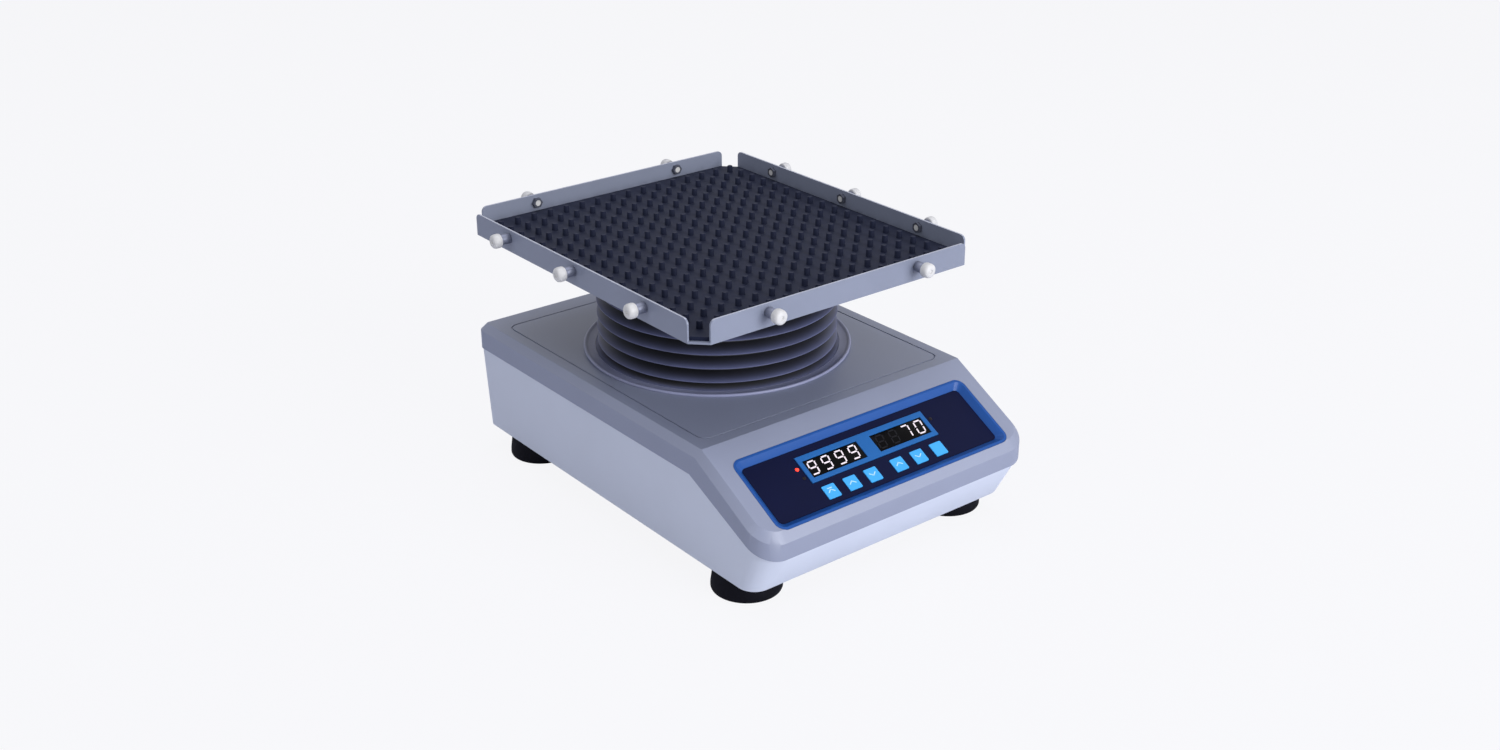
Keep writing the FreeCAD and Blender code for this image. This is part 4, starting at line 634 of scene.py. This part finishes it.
# Base
@dataclass
class BaseHousing(SubAssembly):
    """Cover, tub, feet and their screws.

    The bounds tell the housing's borders from the edges inside them: an edge
    lies on a border where it is further out than its bound.
    """

    near: float = 0.1
    border_fold: float = 12.0
    top_across: float = 124.0
    top_back: float = 174.0
    slope_across: float = 121.0
    slope_down: float = 84.0
    wall_across: float = 130.4
    wall_back: float = 180.8
    wall_front: float = -193.0
    sole_across: float = 120.0
    sole_back: float = 174.0
    sole_front: float = -168.0
    edge_round: float = 0.8
    outer_round: float = 2.4
    sole_round: float = 3.0
    sole: float = 17.6
    foot_recess: float = 7.0
    recess_tall: float = 6.0
    foot_bore: float = 2.5
    foot_radius: float = 26.5
    foot_top: float = 24.5
    foot_tall: float = 17.6
    foot_edge: float = 1.5
    feet: tuple[tuple[str, float, float], ...] = (
        ("front_left", -100.7, -136.6), ("front_right", 100.7, -136.6),
        ("rear_left", -100.7, 138.4), ("rear_right", 100.7, 138.4))

    def outer(self, edge: bmesh.types.BMEdge) -> bool:
        """True on the edges that bound the cover's top, slope and walls."""
        middle = (edge.verts[0].co + edge.verts[1].co) / (2 * MM)
        across = abs(middle.x)
        run, rise = middle.y - FOLD[0], middle.z - FOLD[1]
        off = rise * math.cos(SLOPE_ANGLE) - run * math.sin(SLOPE_ANGLE)
        down = -rise * math.sin(SLOPE_ANGLE) - run * math.cos(SLOPE_ANGLE)
        hangs = any(face.normal.z < -0.3 for face in edge.link_faces)
        on_top = rise > -self.near and (
            across > self.top_across or middle.y > self.top_back or run < self.near)
        on_slope = abs(off) < self.near and (
            across > self.slope_across or down > self.slope_down)
        on_wall = (across > self.wall_across or middle.y > self.wall_back
                   or middle.y < self.wall_front)
        return (folded(edge, self.border_fold) and not hangs
                and (on_top or on_slope or on_wall))

    def under(self, edge: bmesh.types.BMEdge) -> bool:
        """True on the border of the tub's flat underside."""
        middle = (edge.verts[0].co + edge.verts[1].co) / (2 * MM)
        border = (abs(middle.x) > self.sole_across or middle.y < self.sole_front
                  or middle.y > self.sole_back)
        return (border and middle.z < self.sole + self.near
                and folded(edge, self.border_fold))

    def shells(self) -> None:
        """The two moulded halves, their edges rounded as a mould leaves them."""
        for node, finish, slot, border, width in (
                ("upper_housing", COVER_ABS, "cover_grey", self.outer, self.outer_round),
                ("lower_housing", TUB_ABS, "tub_grey", self.under, self.sole_round)):
            bm = copy_of_node(node)
            soften(bm, edges_of(bm, border), width, 4)
            soften_folds(bm, self.edge_round, 3, degrees=24.0, shortest=3.0)
            self.settle(node.replace("housing", "shell"), bm, finish, slot, [node])

    def rubber_feet(self) -> None:
        """Four turned feet, each with a screw recess and a worn lower edge."""
        edge, wide, tall = self.foot_edge, self.foot_radius, self.foot_tall
        hole, deep, bore = self.foot_recess, self.recess_tall, self.foot_bore
        profile = [
            (hole, 0.0), (wide - 5.0, 0.0), (wide - edge, 0.0),
            (wide - 0.3 * edge, 0.3 * edge), (wide, edge), (wide - 0.1, edge + 3.0),
            (self.foot_top + 0.2, tall - 1.0), (self.foot_top - 0.5, tall), (bore, tall),
            (bore, deep), (hole - 0.4, deep), (hole, deep - 0.4), (hole, 0.0)]
        for tag, x, y in self.feet:
            bm = turned(profile)
            bmesh.ops.translate(bm, vec=Vector((x, y, 0.0)) * MM, verts=bm.verts[:])
            node = "rubber_foot_" + tag
            self.settle("foot_" + tag, bm, FOOT_RUBBER, "foot_rubber", [node])

    def build(self) -> None:
        """Make the housing."""
        self.shells()
        self.rubber_feet()
        self.dress({"foot_screws": SCREW_ZINC, "housing_screws": SCREW_ZINC})


# Panel
@dataclass
class ControlPanel(SubAssembly):
    """Sunk panel on the sloping front. Down is measured from the fold."""

    window: Point = (51.1, 15.0)
    window_round: float = 0.2
    window_down: float = 42.5
    window_across: float = 32.25
    window_deep: float = 14.4
    window_top: float = -3.8
    digit_tall: float = 10.9
    digit_wide: float = 6.5
    digit_pitch: float = 12.9
    digit_thick: float = 0.12
    stroke: float = 1.15
    lean: float = 9.0
    key_down: float = 65.1
    key_first: float = 12.8
    key_pitch: float = 19.95
    key_round: float = 0.3
    print_up: float = -3.46
    print_thick: float = 0.1
    chevron_bar: Point = (4.0, 0.8)
    chevron_lean: float = 38.0
    chevron_half: float = 1.4
    chevron_shift: float = 0.4
    top_bar: Point = (4.4, 0.7)
    top_bar_shift: float = 2.8
    lamp_across: float = 65.6
    lamp_down: float = 39.4
    lower_lamp: Point = (-65.2, 47.8)

    def slope(self, across: float = 0.0, down: float = 0.0, up: float = 0.0) -> Matrix:
        """Frame of the slope: x right, -y down the slope, z out of it."""
        start = Vector((0.0, *FOLD)) * MM
        local = Matrix.Translation(Vector((across, -down, up)) * MM)
        return Matrix.Translation(start) @ Matrix.Rotation(SLOPE_ANGLE, 4, "X") @ local

    def moulding(self) -> None:
        """Frame, film and bezel."""
        for node, name, finish, slot, width in (
                ("control_panel_frame", "panel_surround", FRAME_GLOSS, "frame_blue", 0.5),
                ("panel_membrane", "panel_film", PANEL_FILM, "membrane_navy", 0.15),
                ("display_bezel", "bezel_film", BEZEL_FILM, "bezel_blue", 0.3)):
            bm = copy_of_node(node)
            soften_folds(bm, width)
            self.settle(name, bm, finish, slot, [node])

    def segment(self, bm: bmesh.types.BMesh, size: Point, at: Point, upright: bool) -> None:
        """One bar of a digit with pointed ends.

        Args:
            bm: the mesh that takes it.
            size: length and stroke in millimetres.
            at: its middle.
            upright: True for a bar that stands.
        """
        long, wide = size
        bar = bmesh.new()
        bmesh.ops.create_circle(bar, cap_ends=True, segments=6, radius=1.0)
        for vert in bar.verts:
            tip = abs(vert.co.x) > 0.9
            vert.co.x = math.copysign(long / 2 if tip else long / 2 - wide / 2, vert.co.x) * MM
            vert.co.y = 0.0 if tip else math.copysign(wide / 2, vert.co.y) * MM
        made = bmesh.ops.extrude_face_region(bar, geom=bar.faces[:])
        lifted = [v for v in made["geom"] if isinstance(v, bmesh.types.BMVert)]
        bmesh.ops.translate(bar, vec=(0.0, 0.0, self.digit_thick * MM), verts=lifted)
        bmesh.ops.recalc_face_normals(bar, faces=bar.faces[:])
        turn = Matrix.Rotation(math.pi / 2 if upright else 0.0, 4, "Z")
        pour(bar, bm, Matrix.Translation((at[0] * MM, at[1] * MM, 0.0)) @ turn)
        bar.free()

    def digit(self, bm: bmesh.types.BMesh, lit: str, middle: float) -> None:
        """Draw the named segments of one digit round a middle."""
        half, tall = self.digit_wide / 2, self.digit_tall / 2
        flat, post = self.digit_wide - 0.1, tall - 0.1
        spots = {
            "a": ((flat, self.stroke), (0.0, tall), False),
            "g": ((flat, self.stroke), (0.0, 0.0), False),
            "d": ((flat, self.stroke), (0.0, -tall), False),
            "f": ((post, self.stroke), (-half, tall / 2), True),
            "b": ((post, self.stroke), (half, tall / 2), True),
            "e": ((post, self.stroke), (-half, -tall / 2), True),
            "c": ((post, self.stroke), (half, -tall / 2), True)}
        glyph = bmesh.new()
        for letter in lit:
            self.segment(glyph, *spots[letter])
        shear = Matrix.Identity(4)
        shear[0][1] = math.tan(math.radians(self.lean))
        pour(glyph, bm, Matrix.Translation((middle * MM, 0.0, 0.0)) @ shear)
        glyph.free()

    def displays(self) -> None:
        """Two windows, each with four digits, of which some are lit."""
        digits = {"9": "abcdfg", "7": "abc", "0": "abcdef", "8": "abcdefg"}
        rows = (("time", "time_display", -self.window_across, -1.2, "9999", ""),
                ("speed", "speed_display", self.window_across, 0.1, "  70", "88  "))
        for tag, node, across, shift, lit, dark in rows:
            bm = slab((*self.window, self.window_deep),
                      (0.0, 0.0, self.window_top - self.window_deep / 2))
            soften(bm, bm.edges[:], self.window_round, 2)
            bm.transform(self.slope(across, self.window_down))
            self.settle(tag + "_window", bm, WINDOW_FILTER, "display_black", [node])
            for word, finish, name in (
                    (lit, LIT_DIGIT, "digits"), (dark, DARK_DIGIT, "dim_digits")):
                if not word.strip():
                    continue
                bm = bmesh.new()
                for index, letter in enumerate(word):
                    if letter != " ":
                        self.digit(bm, digits[letter], (index - 1.5) * self.digit_pitch + shift)
                bm.transform(self.slope(across, self.window_down, self.window_top - 0.02))
                self.settle(tag + "_" + name, bm, finish, "display_black")

    def chevron(self, bm: bmesh.types.BMesh, up: bool) -> None:
        """Two short bars that meet in a point."""
        for side in (-1.0, 1.0):
            bar = slab((*self.chevron_bar, self.print_thick))
            lean = math.radians(self.chevron_lean) * side * (-1.0 if up else 1.0)
            place = Matrix.Translation(
                (side * self.chevron_half * MM, self.chevron_shift * MM, 0.0))
            pour(bar, bm, place @ Matrix.Rotation(lean, 4, "Z"))
            bar.free()

    def keys(self) -> None:
        """Six domed keys, five of them with a printed mark."""
        icons = (Icon.TOP, Icon.UP, Icon.DOWN, Icon.UP, Icon.DOWN, Icon.NONE)
        steps = (-2, -1, 0, 0, 1, 2)
        for index, (icon, step) in enumerate(zip(icons, steps)):
            name = "key_%d" % (index + 1)
            side = -1.0 if index < 3 else 1.0
            across = side * self.key_first + self.key_pitch * step
            bm = copy_of_node(name)
            soften_folds(bm, self.key_round, 3, shortest=0.0)
            self.settle(name + "_cap", bm, KEY_FILM, "key_blue", [name], body=name)
            if icon is Icon.NONE:
                continue
            bm = bmesh.new()
            self.chevron(bm, icon is not Icon.DOWN)
            if icon is Icon.TOP:
                slab((*self.top_bar, self.print_thick), (0.0, self.top_bar_shift, 0.0), bm)
            bm.transform(self.slope(across, self.key_down, self.print_up))
            self.settle(name + "_mark", bm, KEY_PRINT, "key_blue", body=name)

    def lamps(self) -> None:
        """Two small round lamps, and an unlit dome below the left one."""
        cap = [(1.5, -4.0), (1.35, -3.75), (0.8, -3.5), (0.0, -3.42)]
        dome = turned([(0.0, -4.1), *cap], 24)
        dome.transform(self.slope(*self.lower_lamp))
        self.settle("indicator_lower", dome, LAMP_DARK, "lamp_dark")
        for node, side, finish, slot in (("lamp_left", -1.0, LAMP_LIT, "lamp_red"),
                                         ("lamp_right", 1.0, LAMP_DARK, "lamp_dark")):
            bm = turned([(0.0, -14.8), (1.5, -14.8), *cap], 24)
            bm.transform(self.slope(side * self.lamp_across, self.lamp_down))
            self.settle(node.replace("lamp", "indicator"), bm, finish, slot, [node])

    def build(self) -> None:
        """Make the panel."""
        self.moulding()
        self.displays()
        self.keys()
        self.lamps()
        self.dress({"control_board": BOARD_MASK, "board_spacers": SPACER_ALLOY,
                    "key_switches": BLACK_NYLON})


# Back wall
@dataclass
class BackWall(SubAssembly):
    """Power inlet and power switch."""

    shortest: float = 1.5

    def build(self) -> None:
        """Round the edges of the fittings and dress them."""
        for node, name, width in (("power_inlet", "inlet_body", 0.4),
                                  ("power_switch_housing", "switch_body", 0.3)):
            bm = copy_of_node(node)
            soften_folds(bm, width, shortest=self.shortest)
            self.settle(name, bm, BLACK_NYLON, "black_plastic", [node])
        bm = copy_of_node("power_switch_rocker")
        soften_folds(bm, 0.4, degrees=15.0, shortest=self.shortest)
        self.settle("switch_paddle", bm, BLACK_NYLON, "black_plastic",
                    ["power_switch_rocker"], body=Body.SWITCH.value)


# Gear
@dataclass
class RockingGear(SubAssembly):
    """Chassis, bearings, motor and the toothed sector inside the bellows."""

    def build(self) -> None:
        """Dress the mechanism, whose CAD shapes stay."""
        self.dress({
            "chassis_plate": CHASSIS_PAINT, "pedestal_front": CAST_ALLOY,
            "pedestal_rear": CAST_ALLOY, "bearing_front": GROUND_STEEL,
            "bearing_rear": GROUND_STEEL, "rocker_shaft": GROUND_STEEL,
            "platform_yoke": CAST_ALLOY, "sector_gear": GEAR_NYLON,
            "drive_pinion": PINION_BRASS, "motor_shaft": GROUND_STEEL,
            "motor_bracket": CHASSIS_PAINT, "drive_motor": MOTOR_PAINT,
            "motor_screws": SCREW_ZINC, "power_supply": BOARD_MASK})


# Bellows
@dataclass
class Bellows(SubAssembly):
    """Pleated boot and the ring that holds its foot."""

    centre: float = ROCK_AXIS
    rim: float = 96.0
    rim_round: float = 0.9
    valley: float = PLEAT_VALLEY
    wall: float = 2.81
    foot: float = COVER_TOP
    top: float = 186.7
    skin: float = 1.2
    flange: float = 97.2
    rims: int = 7

    def boot(self) -> None:
        """Turn the pleats and round their rims; the boot rides on no body."""
        start = self.foot + self.skin
        half = (self.top - self.skin - start) / (2 * self.rims - 1)
        outside = [(self.rim if k % 2 else self.valley, start + half * k)
                   for k in range(2 * self.rims)]
        inside = [(r - self.wall, z) for r, z in reversed(outside)]
        inner = self.valley - self.wall
        profile = [(self.flange, self.foot), (self.flange, start), *outside,
                   (self.rim, self.top), (inner, self.top), (inner, self.top - self.skin),
                   *inside, (inner, self.foot), (self.flange, self.foot)]
        bm = turned(profile, 112)
        bmesh.ops.remove_doubles(bm, verts=bm.verts[:], dist=PLEAT_WELD)
        low, high = (start + half * 0.5) * MM, (self.top - self.skin - half * 0.5) * MM

        def on_rim(edge: bmesh.types.BMEdge) -> bool:
            """True on the outer rim or valley of a pleat."""
            a, b = edge.verts
            level = abs(a.co.z - b.co.z) < 1e-6 and low < a.co.z < high
            return level and a.co.xy.length > (self.valley - 0.5) * MM

        soften(bm, edges_of(bm, on_rim), self.rim_round, 4)
        bmesh.ops.translate(bm, vec=(0.0, self.centre * MM, 0.0), verts=bm.verts[:])
        boot = self.settle("pleated_boot", bm, BELLOWS_NEOPRENE, "bellows_rubber", ["bellows"],
                           crease=50.0, rides=False)
        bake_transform(boot)

    def foot_ring(self) -> None:
        """Flat ring with a rolled outer lip that stands over a fine groove."""
        foot = self.foot
        bm = turned([
            (97.5, foot), (106.1, foot), (106.2, foot + 0.5), (106.75, foot + 0.7),
            (106.8, foot + 1.5), (106.5, foot + 2.0), (105.8, foot + 2.3), (104.9, foot + 2.2),
            (104.0, foot + 1.6), (103.0, foot + 1.2), (97.5, foot + 1.1), (97.5, foot)], 128)
        bmesh.ops.translate(bm, vec=(0.0, self.centre * MM, 0.0), verts=bm.verts[:])
        self.settle("boot_ring", bm, RING_RUBBER, "bellows_rubber", ["bellows_ring"],
                    crease=60.0)

    def build(self) -> None:
        """Make the boot and its ring."""
        self.boot()
        self.foot_ring()


# Tray
@dataclass
class TrayAssembly(SubAssembly):
    """Tray of folded sheet, dimpled mat and strap posts."""

    body: Body = Body.PLATFORM
    centre: float = ROCK_AXIS
    width: float = 265.0
    length: float = 302.0
    base: float = 191.2
    sheet: float = 1.5
    fold_round: float = 0.35
    bare_and_highlight_from: float = 17.2
    cut: float = 11.4
    mat_gap: float = 0.5
    mat_thick: float = 3.0
    nub_pitch: float = 15.4
    nub_tall: float = 5.6
    nub_sunk: float = 0.4
    columns: int = 16
    rows: int = 18
    post_up: float = 11.3
    post_pitch: float = 90.0
    post_across: float = 70.7
    spacer: float = 8.5
    head_tall: float = 7.0
    nut_tall: float = 3.0

    def tray(self) -> None:
        """The sheet with softened folds and lighter top edges: bare sheared steel with a
        painted highlight.
        """
        bm = copy_of_node("tray")
        soften_folds(bm, self.fold_round)
        # Faces that look up at the top of the walls take the lighter colour, a painted
        # highlight over the bare steel.
        rim = (self.base + self.bare_and_highlight_from) * MM
        for face in bm.faces:
            middle = face.calc_center_median()
            face.material_index = 1 if middle.z > rim and face.normal.z > 0.5 else 0
        self.settle("tray_sheet", bm, TRAY_COAT, "tray_grey", ["tray"], more=[TRAY_BARE_EDGE_AND_HIGHLIGHT])

    def mat(self) -> None:
        """One sheet with a field of round nubs."""
        wide = self.width - 2 * (self.sheet + self.mat_gap)
        long = self.length - 2 * (self.sheet + self.mat_gap)
        low = self.base + self.sheet
        bm = slab((wide, long, self.mat_thick), (0.0, self.centre, low + self.mat_thick / 2))
        upright = edges_of(bm, lambda e: abs(e.verts[0].co.z - e.verts[1].co.z) > 1 * MM)
        bmesh.ops.bevel(bm, geom=upright, offset=self.cut * MM, offset_type="OFFSET",
                        affect="EDGES", segments=1, profile=0.5, material=-1)
        top = self.nub_tall + self.nub_sunk
        profile = [(2.75, 0.0), (2.45, 0.6), (2.3, top - 0.5), (1.9, top), (0.0, top - 0.15)]
        nub = turned(profile, 12)
        for column in range(self.columns):
            for row in range(self.rows):
                x = (column - (self.columns - 1) / 2) * self.nub_pitch
                y = (row - (self.rows - 1) / 2) * self.nub_pitch + self.centre
                spot = Vector((x, y, low + self.mat_thick - self.nub_sunk)) * MM
                pour(nub, bm, Matrix.Translation(spot))
        nub.free()
        self.settle("rubber_mat", bm, MAT_RUBBER, "mat_rubber", ["dimple_mat"], crease=40.0)

    def post_places(self) -> list[Matrix]:
        """Where the ten posts stand: local Z points away from the wall."""
        level = self.base + self.post_up
        spots: list[tuple[Vector, Vector]] = []
        for step in (-1, 0, 1):
            for side in (-1, 1):
                along = self.centre + step * self.post_pitch
                spots.append((Vector((side * self.width / 2, along, level)),
                              Vector((side, 0, 0))))
        for step in (-1, 1):
            for side in (-1, 1):
                along = self.centre + side * self.length / 2
                spots.append((Vector((step * self.post_across, along, level)),
                              Vector((0, side, 0))))
        return [Matrix.Translation(at * MM) @ out.to_track_quat("Z", "Y").to_matrix().to_4x4()
                for at, out in spots]

    def posts(self) -> None:
        """Domed nylon heads on shanks, with their spacers."""
        gap, end = self.spacer, self.spacer + self.head_tall
        inner = -self.sheet - self.nut_tall
        head = [(0.0, inner), (2.3, inner), (2.5, inner + 0.2), (2.5, gap), (4.9, gap),
                (5.35, gap + 0.35), (5.6, gap + 1.2), (5.6, end - 2.6), (5.2, end - 1.2),
                (4.3, end - 0.35), (3.2, end), (1.7, end), (1.3, end - 0.5), (0.9, end - 0.95),
                (0.0, end - 1.0)]
        sleeve = [(2.52, 0.0), (3.7, 0.0), (4.0, 0.3), (4.0, gap - 0.3), (3.7, gap),
                  (2.52, gap), (2.52, 0.0)]
        for profile, steps, name, finish, slot, node in (
                (head, 32, "nylon_posts", POST_NYLON, "post_nylon", "strap_posts"),
                (sleeve, 28, "post_sleeves", SPACER_ALLOY, "spacer_grey", "post_spacers")):
            single = turned(profile, steps)
            bm = bmesh.new()
            for place in self.post_places():
                pour(single, bm, place)
            single.free()
            self.settle(name, bm, finish, slot, [node], crease=45.0)

    def build(self) -> None:
        """Make the tray and what is on it."""
        self.tray()
        self.mat()
        self.posts()
        self.dress({"platform_plate": CAST_ALLOY, "tray_screws": SCREW_ZINC,
                    "post_nuts": NUT_STEEL})


def main() -> None:
    """Build the studio and the object, piece by piece."""
    logging.basicConfig(level=logging.INFO, format="%(name)s %(message)s")
    for part in (Studio(), BaseHousing(), ControlPanel(), BackWall(), RockingGear(),
                 Bellows(), TrayAssembly()):
        part.build()
        LOG.info("%s done", type(part).__name__)


if __name__ == "__main__":
    main()
